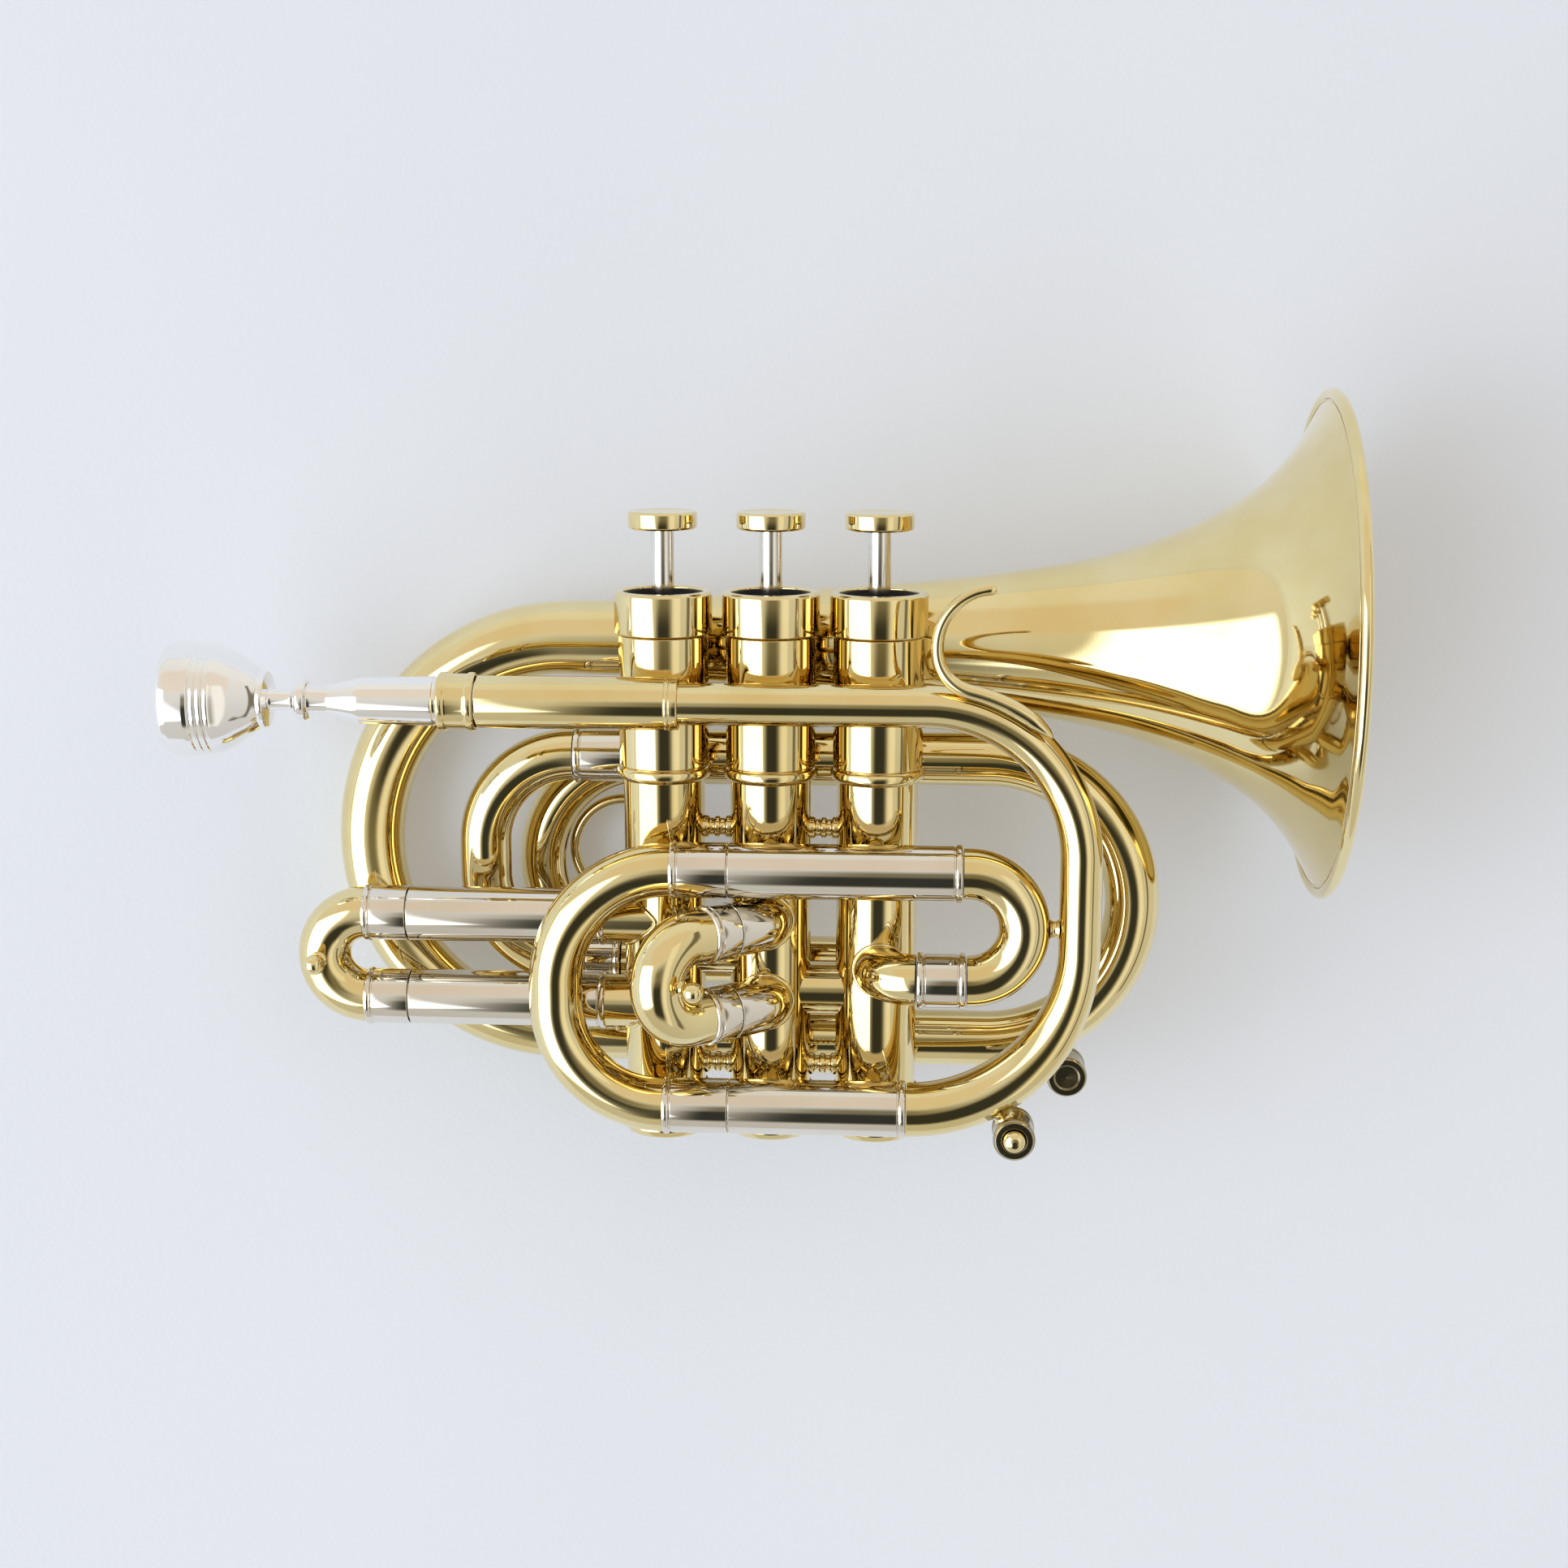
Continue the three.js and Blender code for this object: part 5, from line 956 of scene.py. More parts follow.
# %% Exit elbow and bell stay
elbow = Path((-37.3, EXIT_Y, BACK_Z), X).straight(3.3).bend(9, math.pi / 2, Z).straight(1.5, step=0.5)
sweep_tube("exit_elbow_tube", elbow, TUBE_R, "brass", "instrument", "exit_elbow", wall=EXIT_WALL,
           into=(1,))
solder_rim("exit_elbow_rim", 1, EXIT_Y, -Z, TUBE_R + 0.15)
stay_foot = (VALVES[1], BELL_Y, -10.0)
lathe("bell_stay_rod", [
    (0.02, 0), (3.4, 0), (3.3, 0.6), (2.3, 1.1), (2.0, 1.6), (2.0, 4.0), (2.3, 4.6), (3.4, 5.4),
    (3.6, 6.2), (0.02, 6.2),
], stay_foot, -Z, "nickel", "instrument", "bell_stay", sides=48)
print("elbow length:", round(float(elbow.lengths()[-1]), 1), "mm")

# %% [markdown]
# ## Receiver and sleeve
# The mouthpiece goes into the receiver, which has a ring at each end. A brass sleeve covers the start
# of the leadpipe, and a fine ridge marks its end.

# %% Receiver and sleeve
LEAD_Y, RECEIVER_X, SLEEVE_X = 106.3, -74.6, -65.6


def in_front(x, y):
    """A place in the plane of the front tubes."""
    return (x, y, FRONT_Z)


lathe("receiver_ring", [
    (5.86, 0.2), (6.1, 0.0), (6.7, 0.6), (6.7, 1.7), (6.45, 2.0), (6.35, 2.4), (6.35, 6.4),
    (6.45, 6.8), (6.7, 7.1), (6.7, 8.1), (6.4, 8.65), (5.86, 8.65),
], in_front(RECEIVER_X, LEAD_Y), X, "brass", "instrument", "receiver", closed=True, soft=0.2)
lathe("sleeve_tube", [
    (5.75, 0.05), (6.0, 0.05), (6.0, 42.7), (5.9, 42.8), *bead(5.95, 42.9, 0.9, 0.2), (5.9, 43.9),
    (6.0, 44.0), (6.0, 45.55), (5.8, 45.8), (5.15, 45.8), (5.15, 14.2),
], in_front(SLEEVE_X, LEAD_Y), X, "brass", "instrument", "leadpipe_sleeve", closed=True, soft=0.08)
print("the sleeve starts", SLEEVE_X - RECEIVER_X, "mm behind the receiver's mouth")

# %% [markdown]
# ## Leadpipe
# The leadpipe passes in front of the valves, turns down round the bell side and comes back below. It
# widens in the second bend, from the leadpipe's bore to that of the tuning slide.

# %% Leadpipe
LEAD_R, LEAD_END_R, LEAD_X, LEAD_BEND, LEAD_LOWER_BEND = 4.85, 6.3, 71.8, 35.2, 39.0
LEAD_START, LEAD_DROP, WIDENS_SHARE = -51.4, 20.7, 0.7
lead = Path(in_front(LEAD_START, LEAD_Y), X).straight(LEAD_X - LEAD_BEND - LEAD_START)
lead.bend(LEAD_BEND, math.pi / 2, -Y, step=2).straight(LEAD_DROP)
widens = lead.lengths()[-1]
lead.bend(LEAD_LOWER_BEND, math.pi / 2, -X, step=2)
lengths = lead.lengths()
wide = smooth((lengths - widens) / (WIDENS_SHARE * (lengths[-1] - widens)))
sweep_tube("leadpipe_tube", lead, LEAD_R + (LEAD_END_R - LEAD_R) * wide, "brass", "instrument",
           "leadpipe", sides=64, wall=0.6)
print("leadpipe length:", round(float(lengths[-1]), 1), "mm")

# %% [markdown]
# ## Tuning slide
# The large bow at the front left draws out to tune the whole trumpet. Its two legs run inside nickel
# outer tubes, and the seam between ferrule and outer tube is where it opens.

# %% Tuning slide
TUNE_Y, TUNE_LOW_Y, TUNE_SEAM, TUNE_RIGHT = 67.8, 11.4, -8.8, 44.9
TUNE_BEAD, TUNE_LOW_BEAD, TUNE_BEND, TUNE_LOW_BEND = -21.9, -23.9, 27.0, 24.7
SEAM_GAP, IN_FERRULE, TUNE_INSERT = 0.3, 0.8, 28
outer_tube("tuning_outer_top", in_front(TUNE_SEAM + SEAM_GAP, TUNE_Y), X,
           TUNE_RIGHT - TUNE_SEAM - SEAM_GAP, OUTER_R, "nickel", "tuning_outer_upper")
outer_tube("tuning_outer_bottom", in_front(TUNE_SEAM + SEAM_GAP, TUNE_LOW_Y), X,
           LEAD_X - LEAD_LOWER_BEND - SEAM_GAP - TUNE_SEAM - SEAM_GAP, OUTER_R, "nickel",
           "tuning_outer_lower")
bow = Path(in_front(TUNE_BEAD + IN_FERRULE, TUNE_Y), -X).straight(IN_FERRULE)
bow.bend(TUNE_BEND, math.pi / 2, -Y, step=2)
bow.straight(TUNE_Y - TUNE_LOW_Y - TUNE_BEND - TUNE_LOW_BEND)
bow.bend(TUNE_LOW_BEND, math.pi / 2, X, step=2).straight(TUNE_LOW_BEAD + IN_FERRULE - bow.end[0])
sweep_tube("tuning_bow", bow, TUBE_R, "brass", "tuning_slide", "tuning_slide", sides=64, wall=0.6)
for name, left, height in (("upper", TUNE_BEAD, TUNE_Y), ("lower", TUNE_LOW_BEAD, TUNE_LOW_Y)):
    slide_leg(f"tuning_leg_{name}", in_front(left, height), X, TUNE_SEAM - left, TUNE_INSERT, OUTER_R,
              "nickel", "tuning_slide")
print("tuning bow length:", round(float(bow.lengths()[-1]), 1), "mm")

# %% [markdown]
# ## Into the third valve
# From the upper outer tube the air turns back in a small bow, through a ferrule and an elbow, and
# enters the third valve. A short solder stay ties the bow to the leadpipe beside it.

# %% Entry bow, ferrule and elbow
ENTRY_Y, ENTRY_LEFT, ENTRY_RIGHT, ENTRY_R, ENTRY_BEND = 42.6, 34.8, 46.0, 5.9, 12.6
bow = Path(in_front(45.2, TUNE_Y), X).straight(1.4).bend(ENTRY_BEND, math.pi, -Y, step=4).straight(0.3)
sweep_tube("entry_bow_tube", bow, ENTRY_R, "brass", "instrument", "entry_bow", wall=0.6)
lathe("entry_bow_solder", [(0.02, 0), (2.3, 0), (1.9, 0.6), (1.8, 1.2), (2.3, 2.1), (0.02, 2.1)],
      in_front(64.95, 55.2), X, "brass", "instrument", sides=32)
ferrule("entry_crook_ferrule", in_front(ENTRY_LEFT, ENTRY_Y), X, ENTRY_RIGHT - ENTRY_LEFT, TUBE_R,
        "entry_ferrule")
elbow = Path(in_front(ENTRY_LEFT - 0.3, ENTRY_Y), -X).bend(8.5, math.pi / 2, -Z, step=4)
elbow.straight(1.4, step=0.5)
sweep_tube("entry_elbow_tube", elbow, ENTRY_R, "brass", "instrument", "entry_elbow", wall=0.6,
           into=(3,))
solder_rim("entry_elbow_rim", 3, ENTRY_Y, Z, ENTRY_R + 0.15, offset=(1.0, 0))
print("entry ferrule length:", round(ENTRY_RIGHT - ENTRY_LEFT, 2), "mm")

# %% [markdown]
# ## First slide
# Two outer tubes come straight out of the first casing, beside its middle, and a small bow with two
# legs slides in them. Its knob stands on the bow.

# %% First slide
FIRST_R, FIRST_Z, FIRST_UPPER, FIRST_LOWER, FIRST_BEND = 6.5, 3.1, 53.0, 32.5, 10.25
FIRST_MOUTH, FIRST_BOW_X, FIRST_FERRULE = -85.5, -96.2, 10.4
for name, height in (("upper", FIRST_UPPER), ("lower", FIRST_LOWER)):
    outer_tube(f"first_outer_{name}_tube", (FIRST_MOUTH, height, FIRST_Z), X, 46.8, FIRST_R, "nickel",
               f"first_outer_{name}")
    run = Path((-38.75, height, FIRST_Z), X).straight(3.5).straight(9.0, step=0.6)
    sweep_tube(f"first_root_{name}", run, TUBE_R, "brass", "instrument", wall=0.6, into=(1,))
    solder_rim(f"first_root_rim_{name}", 1, height, -X, TUBE_R + 0.1, offset=(0, FIRST_Z))
    slide_leg(f"first_leg_{name}", (FIRST_BOW_X, height, FIRST_Z), X, FIRST_FERRULE, 34, FIRST_R,
              "nickel", "first_slide")
bow = Path((FIRST_BOW_X + IN_FERRULE, FIRST_UPPER, FIRST_Z), -X).straight(IN_FERRULE)
bow.bend(FIRST_BEND, math.pi, -Y, step=4).straight(IN_FERRULE)
sweep_tube("first_bow", bow, TUBE_R, "brass", "first_slide", "first_slide", sides=64, wall=0.6)
knob("first_knob", (FIRST_BOW_X - FIRST_BEND, 42.75, FIRST_Z + 6.0), Z, "first_slide")
print("first bow length:", round(float(bow.lengths()[-1]), 1), "mm")

# %% [markdown]
# ## Second slide
# The second slide is the smallest, and it points out of the front of the middle valve, turned towards
# the mouthpiece. Everything on it is laid from the end of a short elbow, along the way it points.

# %% The elbows and sockets of the second slide
SECOND_TURN, SECOND_HEIGHTS = math.radians(48), (("upper", 53.9), ("lower", 34.5))
SECOND_REACH, SECOND_BEND = 15, 9.7
second_way = np.array([-math.sin(SECOND_TURN), 0, math.cos(SECOND_TURN)])
second_side = np.array([math.cos(SECOND_TURN), 0, math.sin(SECOND_TURN)])
for name, height in SECOND_HEIGHTS:
    elbow = Path((-0.75, height, 6.8), Z).straight(1.2, step=0.6).bend(7, SECOND_TURN, -X, step=4)
    elbow_end = elbow.end
    elbow.straight(0.4)
    sweep_tube(f"second_elbow_{name}", elbow, 6.15, "brass", "instrument", wall=0.6, into=(2,))
    solder_rim(f"second_rim_{name}", 2, height, Z, OUTER_R, offset=(-0.75, 0), thick=0.6)
    lathe(f"second_socket_{name}", [
        (5.9, 7.6), (6.25, 7.6), (OUTER_R, 7.45), (OUTER_R, -1.2), (6.25, -1.4), (6.05, -1.4), (6.05, 0.0),
    ], elbow_end, second_way, "nickel", "instrument", f"second_outer_{name}", closed=True, soft=0.05)
    slide_leg(f"second_leg_{name}", elbow_end + second_way * SECOND_REACH, -second_way, 7.1, 5,
              OUTER_R, "nickel", "second_slide")
print("the second slide points", round(math.degrees(SECOND_TURN)), "degrees off the front")

# %% The bow of the second slide
bow_start = elbow_end + second_way * (SECOND_REACH - IN_FERRULE) + Y * 2 * SECOND_BEND
bow = Path(bow_start, second_way).straight(3.8).bend(SECOND_BEND, math.pi, -Y, step=4).straight(3.8)
sweep_tube("second_bow", bow, TUBE_R, "brass", "second_slide", "second_slide", sides=64, wall=0.6)
knob_foot = elbow_end + second_way * (SECOND_REACH + 3 + 7.2) + Y * 9.9 + second_side * 5.5
knob("second_knob", knob_foot, second_side, "second_slide")
print("second bow length:", round(float(bow.lengths()[-1]), 1), "mm")

# %% [markdown]
# ## Third slide
# The third slide lies furthest back. Its upper outer tube turns down and then forward into the third
# casing, and the lower one goes straight forward. A ring for the finger is soldered on the slide.

# %% The outer tubes of the third slide
THIRD_R, THIRD_Z, THIRD_UPPER, THIRD_LOWER, THIRD_BEND = 6.0, -31.0, 84.4, 33.8, 25.3
THIRD_MOUTH, THIRD_RUN, THIRD_CORNER, THIRD_FORWARD, THIRD_END = -21.7, 37.7, 9, 11, 3.8
upper = Path((THIRD_MOUTH, THIRD_UPPER, THIRD_Z), X).straight(THIRD_RUN)
upper.bend(THIRD_CORNER, math.pi / 2, -Y, step=4).straight(9.4)
lower = Path((THIRD_MOUTH, THIRD_LOWER, THIRD_Z), X).straight(THIRD_RUN)
for name, node, run in (("top", "upper", upper), ("bottom", "lower", lower)):
    run.bend(THIRD_CORNER, math.pi / 2, Z, step=4).straight(THIRD_FORWARD).straight(THIRD_END, step=0.6)
    sweep_tube(f"third_outer_{name}", run, THIRD_R, "brass", "instrument", f"third_outer_{node}",
               wall=0.5, into=(3,))
for height in (57.0, THIRD_LOWER):
    solder_rim(f"third_rim_{height:.0f}", 3, height, -Z, THIRD_R + 0.15)
print("upper outer tube:", round(float(upper.lengths()[-1]), 1), "mm")

# %% The third slide and its ring
THIRD_BOW_X, THIRD_BOW_R = -33.6, 5.7
for name, height in (("upper", THIRD_UPPER), ("lower", THIRD_LOWER)):
    slide_leg(f"third_leg_{name}", (THIRD_BOW_X, height, THIRD_Z), X, 11.6, 28, THIRD_R, "nickel",
              "third_slide")
bow = Path((THIRD_BOW_X + IN_FERRULE, THIRD_UPPER, THIRD_Z), -X).straight(IN_FERRULE)
bow.bend(THIRD_BEND, math.pi, -Y, step=3).straight(IN_FERRULE)
sweep_tube("third_bow", bow, THIRD_BOW_R, "brass", "third_slide", "third_slide", sides=64, wall=0.6)
lathe("third_finger_ring", [
    (11.4, -0.6), (11.75, -1.05), (12.6, -1.2), (13.3, -0.9), (13.8, -0.2), (13.8, 0.2),
    (13.3, 0.9), (12.6, 1.2), (11.75, 1.05), (11.4, 0.6),
], (-38.6, 61.4, THIRD_Z - 2), Z, "brass", "third_slide", "third_slide_ring", closed=True, soft=0.3)
print("third bow length:", round(float(bow.lengths()[-1]), 1), "mm")

# %% [markdown]
# ## Little-finger hook
# A tapered brass rod is soldered along the outside of the leadpipe's bend and curls up to a hook for
# the little finger. Its foot follows the leadpipe's own bend, lifted off it by the two thicknesses.

# %% Hook
HOOK_R, HOOK_GAP, HOOK_BACK_BEND, HOOK_BEND = 1.5, 0.3, 9.9, 12.9
lean, foot_at, foot_turn = math.radians(40), math.radians(46.5), math.radians(30)
lift = LEAD_R + HOOK_R + HOOK_GAP
foot_radius = LEAD_BEND + lift * math.cos(lean)
out_way = np.array([math.cos(foot_at), math.sin(foot_at), 0])
start = np.array(in_front(LEAD_X - LEAD_BEND, LEAD_Y - LEAD_BEND)) + out_way * foot_radius
start = start + Z * lift * math.sin(lean)
hook = Path(start, np.cross(Z, out_way)).bend(foot_radius, foot_turn, -out_way, step=2)
foot_length = hook.lengths()[-1]
hook.bend(HOOK_BACK_BEND, foot_at + foot_turn, -np.cross(Z, hook.heading), step=4).straight(0.6)
hook.bend(HOOK_BEND, math.pi / 2, -np.cross(Z, hook.heading), step=4)
lengths = hook.lengths()
tip = lengths[-1]
TAPER = (
    (0, 0.3), (1.2, 0.95), (5, 1.85), (11, 2.0), (foot_length, 1.75), (foot_length + 8, HOOK_R),
    (tip - 3.4, 1.2), (tip - 2.4, 1.3), (tip - 0.8, 1.3), (tip, 0.8),
)
taper = np.interp(lengths, *zip(*TAPER))
sweep_tube("hook_rod", hook, taper, "brass", "instrument", "pinky_hook", sides=32)
print("hook length:", round(float(tip), 1), "mm")

# %% [markdown]
# ## Water keys
# A water key lets the water out at the lowest bend. This kind is a small barrel beside the tube, with
# a button that is pushed in against a spring. The barrel is aged brass, its button bright.

# %% Water keys
BARREL_R, KEY_BUTTON_R, KEY_SADDLE, BARREL_HALF = 4.9, 2.6, 0.6, 5.5


def water_key(name, bend_centre, bend, tube, angle, facing):
    """A key outside the bend of a tube, at `angle` degrees round it, with its button on `facing`."""
    away = math.radians(angle)
    out = np.array([math.cos(away), math.sin(away), 0])
    middle = np.array(bend_centre, float) + out * (bend + tube + KEY_SADDLE + BARREL_R)
    facing = np.array(facing, float)
    foot = middle - facing * BARREL_HALF
    lathe(f"key_barrel_{name}", [
        (2.75, 1.0), (2.75, 10.6), (2.95, 10.95), (4.35, 10.95), (4.55, 10.6), (BARREL_R, 10.3),
        (BARREL_R, 8.9), (4.7, 8.7), (4.7, 2.3), (BARREL_R, 2.1), (BARREL_R, 0.5), (4.5, 0.0), (3.1, 0.0),
        (2.9, 0.35), (0.02, 0.35), (0.02, 1.0),
    ], foot, facing, "aged_brass", "instrument", f"water_key_barrel_{name}", closed=True, soft=0.12,
        sides=72)
    lathe(f"key_button_{name}", [
        (0.02, 3.1), (2.55, 3.1), (KEY_BUTTON_R, 3.3), (KEY_BUTTON_R, 11.4), (2.45, 12.1), (2.0, 12.7),
        (1.2, 13.05), (0.5, 13.18), (0.02, 13.2),
    ], foot, facing, "brass", f"water_key_{name}", f"water_key_button_{name}", sides=64)
    lathe(f"key_saddle_{name}", [
        (0.02, 0), (2.6, 0), (2.35, 0.5), (2.3, 0.9), (2.6, 1.4), (3.3, 2.1), (0.02, 2.1),
    ], middle - out * 4.2, -out, "brass", "instrument", sides=40)


water_key("front", in_front(LEAD_X - LEAD_LOWER_BEND, TUNE_LOW_Y + LEAD_LOWER_BEND), LEAD_LOWER_BEND,
          LEAD_END_R, -60.7, Z)
water_key("back", (LOOP_X, RUN_Y - LOOP_BEND, BACK_Z), LOOP_BEND, 6.95, -65.1, -Z)

# %% [markdown]
# ## Mouthpiece
# The mouthpiece is turned from one bar and plated. Its profile runs round the rim, along the turned
# lines of the bowl, the disc and the tapered shank, and back through the backbore, throat and cup.

# %% Mouthpiece
MOUTHPIECE_X, RIM_R, CUP_DEPTH = -137.0, 13.1, 13.0
bowl = through([(12.2, 12.5), (11.6, 14.0), (10.6, 15.9), (9.2, 18.0), (7.7, 20.2), (6.4, 21.7)], 5)
outside = [
    (8.5, 1.6), (9.6, 0.35), (10.9, 0.02), (12.2, 0.35), (12.9, 1.3), (RIM_R, 2.6), (RIM_R, 6.7),
    (12.9, 7.7), (12.5, 8.0), (12.5, 8.4), (12.75, 8.6), (12.75, 9.3), (12.4, 9.5), (12.4, 9.9),
    (12.6, 10.1), (12.6, 10.8), (12.2, 11.0), (12.2, 11.5), (12.35, 11.7), (12.35, 12.2), *bowl,
    (6.5, 22.0), (6.6, 22.3), (6.6, 22.9), (6.3, 23.2), (2.7, 23.4), (2.5, 24.0), (2.5, 28.6),
    (2.9, 29.2), (4.4, 30.0), (4.78, 30.4), (4.78, 31.9), (4.4, 32.3), (3.6, 32.5), (3.5, 33.2),
    (3.5, 37.2), (4.2, 40.2), (5.1, 43.6), (5.25, 44.4), (5.68, 61.1), (5.68, 61.4), (5.4, 61.7),
    (4.85, 84.8), (4.6, 85.0),
]
bore = [(3.9, 85.0), (1.9, 25.0), (1.9, 17.0), (3.4, CUP_DEPTH), (6.4, 10.0), (7.9, 5.6)]
lathe("mouthpiece_turned", outside + bore, in_front(MOUTHPIECE_X, LEAD_Y), X, "silver", "mouthpiece",
      "mouthpiece", closed=True, soft=0.25, sides=128)
print("mouthpiece rim:", 2 * RIM_R, "mm across")

# %% [markdown]
# ## Pieces that stay as CAD
# Pistons and springs are inside the casings, where the CAD's own shape is fine. They only get a metal.

# %% Pistons and springs
for number in VALVES:
    for node, finish in ((f"piston_{number}", "piston_nickel"), (f"spring_{number}", "steel")):
        data = frame["nodes"][node].data
        data.materials.clear()
        data.materials.append(FINISHES[finish])
print("kept CAD nodes:", [n for n in frame["nodes"] if n.startswith(("piston", "spring"))])

# %% [markdown]
# ## Floor
# The trumpet lies on a large pale sheet. Its colour drifts a little over a hand's width and its
# surface has fine pores, both from noise. A faint glow that only the camera and mirrors see keeps the
# shadows soft, and lights nothing.

# %% The sheet and its colour
FLOOR_REACH, PORES_SCALE, DRIFT_SCALE, FLOOR_GLOW = 6.0, 700, 3.0, 0.2
floor_mesh = bpy.data.meshes.new("floor")
corners = [(x * FLOOR_REACH, y * FLOOR_REACH, 0) for x, y in ((-1, -1), (1, -1), (1, 1), (-1, 1))]
floor_mesh.from_pydata(corners, [], [(0, 1, 2, 3)])
floor = bpy.data.objects.new("floor", floor_mesh)
bpy.context.scene.collection.objects.link(floor)
sheet = bpy.data.materials.new("pale sheet")
sheet.use_nodes = True
tree = sheet.node_tree
shader = tree.nodes["Principled BSDF"]
shader.inputs["Roughness"].default_value = 0.7
shader.inputs["Specular IOR Level"].default_value = 0.2
place = tree.nodes.new("ShaderNodeTexCoord").outputs["Object"]
drift_colour = tree.nodes.new("ShaderNodeValToRGB")
for stop, position, colour in zip(drift_colour.color_ramp.elements, (0.3, 0.7),
                                  ((0.585, 0.65, 0.765, 1), (0.625, 0.69, 0.80, 1))):
    stop.position = position
    stop.color = colour
tree.links.new(noise(tree, place, DRIFT_SCALE, 3), drift_colour.inputs["Fac"])
tree.links.new(drift_colour.outputs["Color"], shader.inputs["Base Color"])
print("floor width:", 2 * FLOOR_REACH, "m")

# %% Pores and glow
press = tree.nodes.new("ShaderNodeBump")
press.inputs["Strength"].default_value = 0.25
press.inputs["Distance"].default_value = 0.0004
tree.links.new(noise(tree, place, PORES_SCALE, 4), press.inputs["Height"])
tree.links.new(press.outputs["Normal"], shader.inputs["Normal"])
ray = tree.nodes.new("ShaderNodeLightPath")
seen = tree.nodes.new("ShaderNodeMath")
seen.operation = "MAXIMUM"
glow = tree.nodes.new("ShaderNodeMath")
glow.operation = "MULTIPLY"
glow.inputs[1].default_value = FLOOR_GLOW
shader.inputs["Emission Color"].default_value = (1.0, 0.91, 0.82, 1)
tree.links.new(ray.outputs["Is Camera Ray"], seen.inputs[0])
tree.links.new(ray.outputs["Is Glossy Ray"], seen.inputs[1])
tree.links.new(seen.outputs["Value"], glow.inputs[0])
tree.links.new(glow.outputs["Value"], shader.inputs["Emission Strength"])
floor_mesh.materials.append(sheet)
print("floor material:", len(tree.nodes), "nodes")

# %% [markdown]
# ## A panel in the sky
# Polished metal shows what is around it more than its own colour, so the studio's panels matter as
# much as the brass. Each could be a lamp, but soft edges are simpler in the world's shader: a group
# measures how far a direction is from a panel's middle, across and upwards, and gives a soft mask.

# %% The panel group
panel = bpy.data.node_groups.new("Panel in the sky", "ShaderNodeTree")
socket(panel, "Middle", "NodeSocketVector")
socket(panel, "Across", "NodeSocketVector")
socket(panel, "Upwards", "NodeSocketVector")
socket(panel, "Half width", "NodeSocketFloat", value=0.3)
socket(panel, "Half height", "NodeSocketFloat", value=0.3)
socket(panel, "Softness", "NodeSocketFloat", value=0.05)
socket(panel, "Mask", "NodeSocketFloat", into="OUTPUT")
nodes, links = panel.nodes, panel.links
given = nodes.new("NodeGroupInput")
around = nodes.new("ShaderNodeTexCoord")


def dot_with(name):
    node = nodes.new("ShaderNodeVectorMath")
    node.operation = "DOT_PRODUCT"
    links.new(around.outputs["Generated"], node.inputs[0])
    links.new(given.outputs[name], node.inputs[1])
    return node.outputs["Value"]


def calc(operation, a, b=None):
    node = nodes.new("ShaderNodeMath")
    node.operation = operation
    for source, target in zip((a, b), node.inputs):
        if hasattr(source, "is_output"):
            links.new(source, target)
        elif source is not None:
            target.default_value = source
    return node.outputs["Value"]


depth = calc("MAXIMUM", dot_with("Middle"), 0.001)
mask = calc("GREATER_THAN", dot_with("Middle"), 0.001)
for way, half in (("Across", "Half width"), ("Upwards", "Half height")):
    away = calc("ABSOLUTE", calc("DIVIDE", dot_with(way), depth))
    edge = nodes.new("ShaderNodeMapRange")
    edge.interpolation_type = "SMOOTHSTEP"
    edge.inputs["To Min"].default_value = 1.0
    edge.inputs["To Max"].default_value = 0.0
    links.new(away, edge.inputs["Value"])
    links.new(calc("SUBTRACT", given.outputs[half], given.outputs["Softness"]), edge.inputs["From Min"])
    links.new(calc("ADD", given.outputs[half], given.outputs["Softness"]), edge.inputs["From Max"])
    mask = calc("MULTIPLY", mask, edge.outputs["Result"])
result = nodes.new("NodeGroupOutput")
links.new(mask, result.inputs["Mask"])
print("panel group:", len(panel.nodes), "nodes")

# %% [markdown]
# ## The studio's walls
# Without a panel, the world is a pale wall, a little brighter towards the buttons' side.

# %% Walls
WALL_LOW, WALL_HIGH = 0.6, 0.85
world = bpy.data.worlds.new("studio")
bpy.context.scene.world = world
world.use_nodes = True
tree = world.node_tree
background = tree.nodes["Background"]
around = tree.nodes.new("ShaderNodeTexCoord")
split = tree.nodes.new("ShaderNodeSeparateXYZ")
tree.links.new(around.outputs["Generated"], split.inputs["Vector"])
level = tree.nodes.new("ShaderNodeMapRange")
level.inputs["From Min"].default_value = -1.0
level.inputs["From Max"].default_value = 1.0
level.inputs["To Min"].default_value = WALL_LOW
level.inputs["To Max"].default_value = WALL_HIGH
tree.links.new(split.outputs["Y"], level.inputs["Value"])
walls = tree.nodes.new("ShaderNodeMix")
walls.data_type = "RGBA"
walls.inputs[6].default_value = (0.0, 0.0, 0.0, 1)
walls.inputs[7].default_value = (1.0, 0.96, 0.88, 1)
tree.links.new(level.outputs["Result"], walls.inputs[0])
shown = walls.outputs[2]
print("wall brightness:", WALL_LOW, "to", WALL_HIGH)

# %% [markdown]
# ## The studio's panels
# Six panels lie over the wall, each over the ones before it: a warm panel over the buttons' side, a
# bright strip and a dark strip to the right, two soft dark panels that give the tubes their dark
# bands, and one large bright window to the left, whose reflection runs along the bell.

# %% Laying the panels
def sky(across, along):
    """A direction that leans from straight up by `across` towards +X and `along` towards +Y."""
    return (math.tan(math.radians(across)), math.tan(math.radians(along)), 1.0)


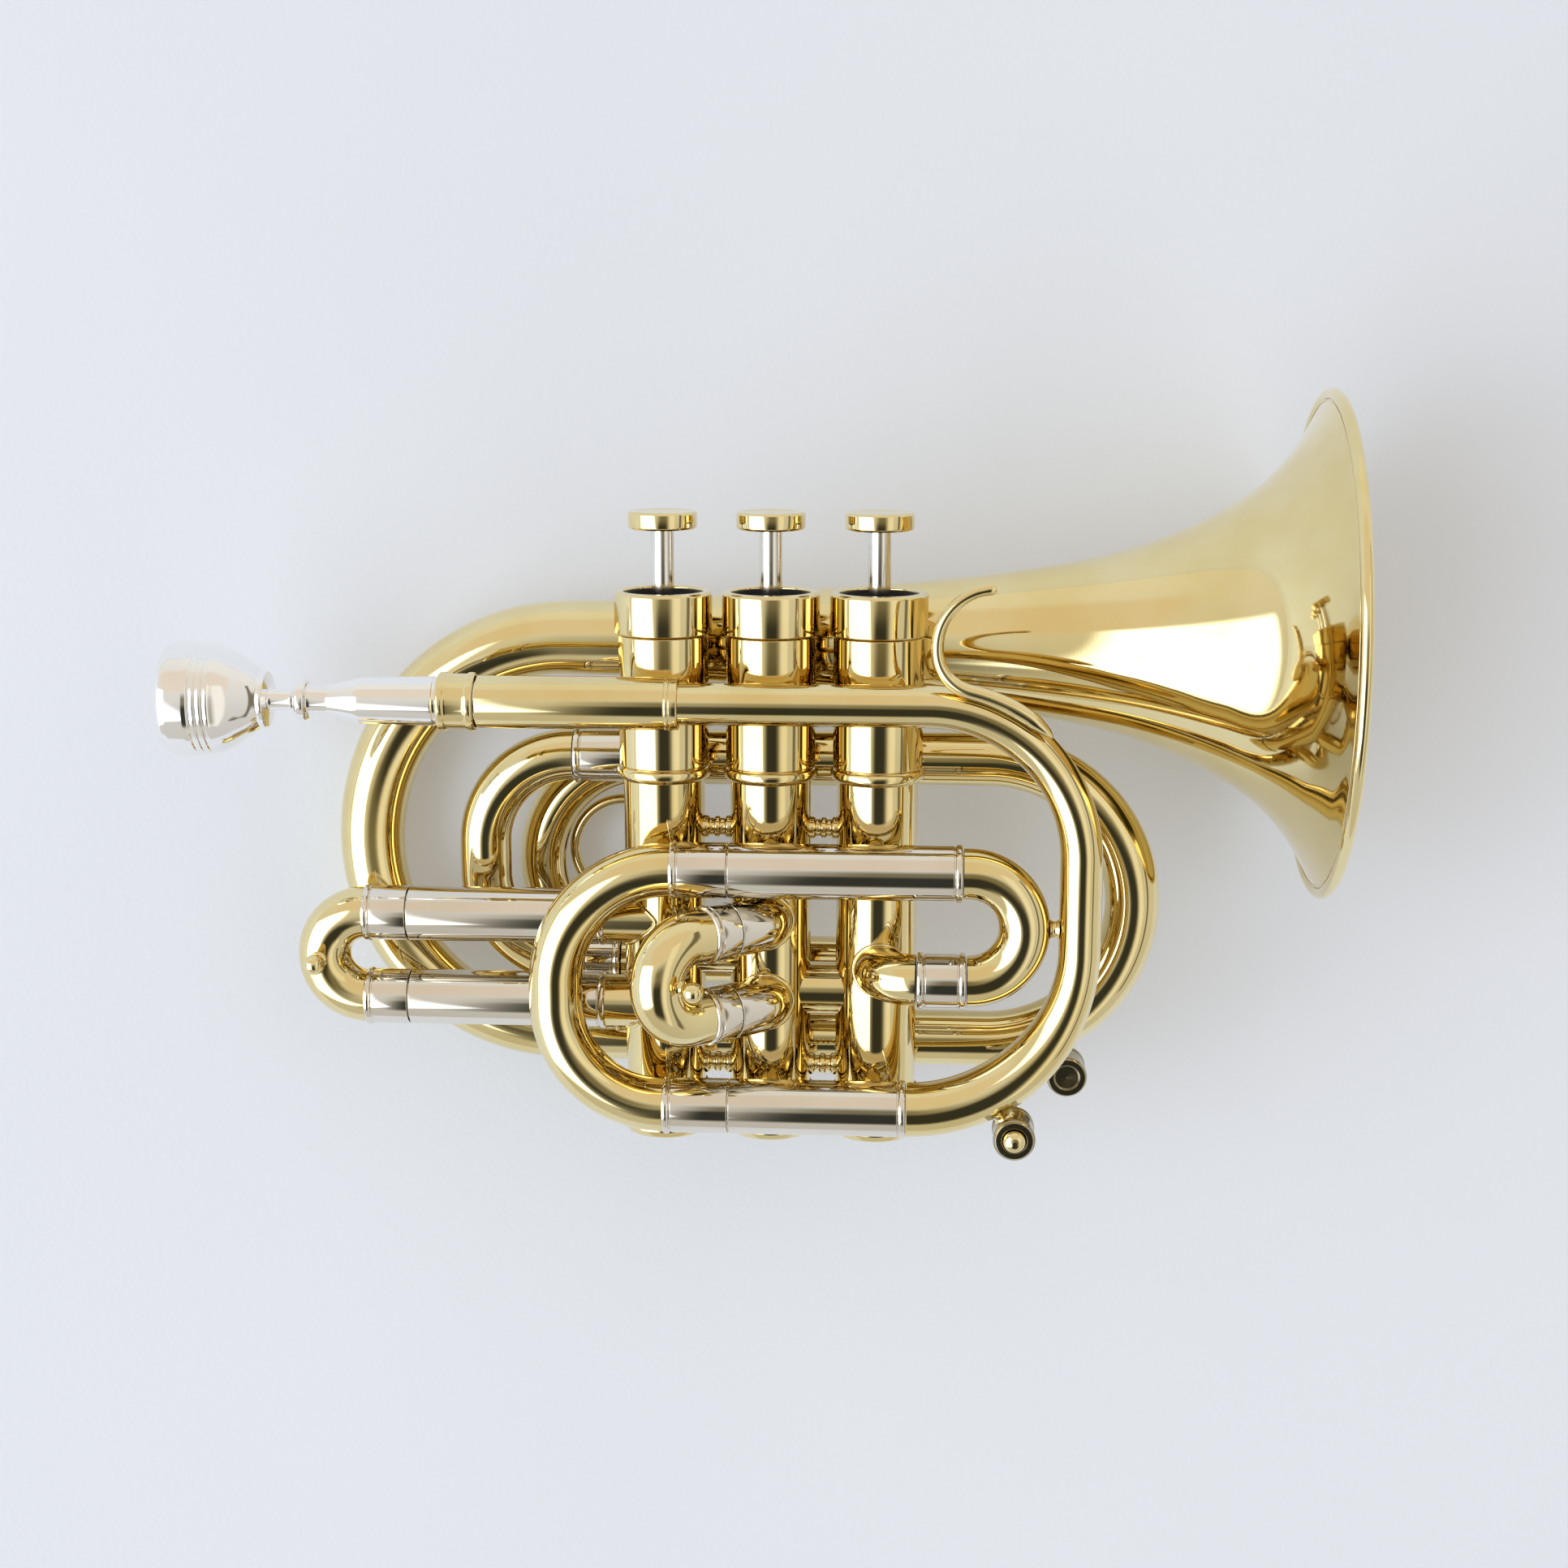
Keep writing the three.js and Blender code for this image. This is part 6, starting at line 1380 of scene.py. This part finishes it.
def over(below, direction, half_width, half_height, softness, colour):
    """Lays a panel of one colour over the sky so far, and gives back the new sky."""
    middle = Vector(direction).normalized()
    side = Vector((0, 1, 0)).cross(middle).normalized()
    group = group_node(tree, panel)
    for label, value in (("Middle", middle), ("Across", side), ("Upwards", middle.cross(side)),
                         ("Half width", half_width), ("Half height", half_height),
                         ("Softness", softness)):
        group.inputs[label].default_value = value
    mix = tree.nodes.new("ShaderNodeMix")
    mix.data_type = "RGBA"
    tree.links.new(group.outputs["Mask"], mix.inputs[0])
    tree.links.new(below, mix.inputs[6])
    mix.inputs[7].default_value = (*colour, 1)
    return mix.outputs[2]


PANELS = (
    (sky(-5, 38), 0.9, 0.42, 0.12, (0.80, 0.69, 0.56)),
    (sky(24, -15), 0.18, 0.9, 0.06, (0.95, 0.9, 0.8)),
    (sky(55, -10), 0.07, 0.8, 0.04, (0.2, 0.17, 0.12)),
    (sky(-4, -24), 0.30, 0.62, 0.20, (0.22, 0.19, 0.12)),
    (sky(-7, -34), 0.27, 0.39, 0.13, (0.04, 0.04, 0.032)),
    (sky(-59, -24), 0.49, 0.58, 0.06, (2.4, 2.5, 2.65)),
)
for values in PANELS:
    shown = over(shown, *values)
tree.links.new(shown, background.inputs["Color"])
background.inputs["Strength"].default_value = 1.0
print("panels:", len(PANELS))

# %% [markdown]
# ## Lamp
# One soft lamp to the left gives the object its shadow on the floor.

# %% Lamp
LAMP_PLACE, LAMP_WIDTH, LAMP_POWER = (-1.15, -0.1, 0.95), 0.6, 3
lamp = bpy.data.lights.new("soft lamp", "AREA")
lamp.shape = "DISK"
lamp.size = LAMP_WIDTH
lamp.energy = LAMP_POWER
lamp.color = (0.85, 0.93, 1.0)
lamp_object = bpy.data.objects.new("soft lamp", lamp)
bpy.context.scene.collection.objects.link(lamp_object)
lamp_object.location = LAMP_PLACE
lamp_object.rotation_euler = lamp_object.location.to_track_quat("Z", "Y").to_euler()
print("lamp:", LAMP_WIDTH, "m wide,", LAMP_POWER, "W")

# %% [markdown]
# ## Camera
# The photo was taken from above, a little past the buttons' side. The camera's place and turn were
# worked out in the instrument's own axes, so they follow it wherever it lies.

# %% Camera
LENS, SENSOR = 56.0, 36.0
CAMERA_PLACE = (35.8, 195.4, 559.6)
CAMERA_AXES = Matrix((
    (0.9983, -0.0132, 0.0572),
    (0.0018, 0.9811, 0.1937),
    (-0.0587, -0.1932, 0.9794),
))
camera_data = bpy.data.cameras.new("camera")
camera_data.lens = LENS
camera_data.sensor_width = SENSOR
camera_data.clip_start = 0.01
camera = bpy.data.objects.new("camera", camera_data)
bpy.context.scene.collection.objects.link(camera)
rest_turn = Matrix((axis_x, axis_y, axis_z)).transposed()
camera_place = REST @ Vector(CAMERA_PLACE)
camera.matrix_world = Matrix.Translation(camera_place) @ (rest_turn @ CAMERA_AXES).to_4x4()
bpy.context.scene.camera = camera
bpy.context.scene.view_settings.view_transform = "Standard"
print("camera at", [round(v, 3) for v in camera_place])
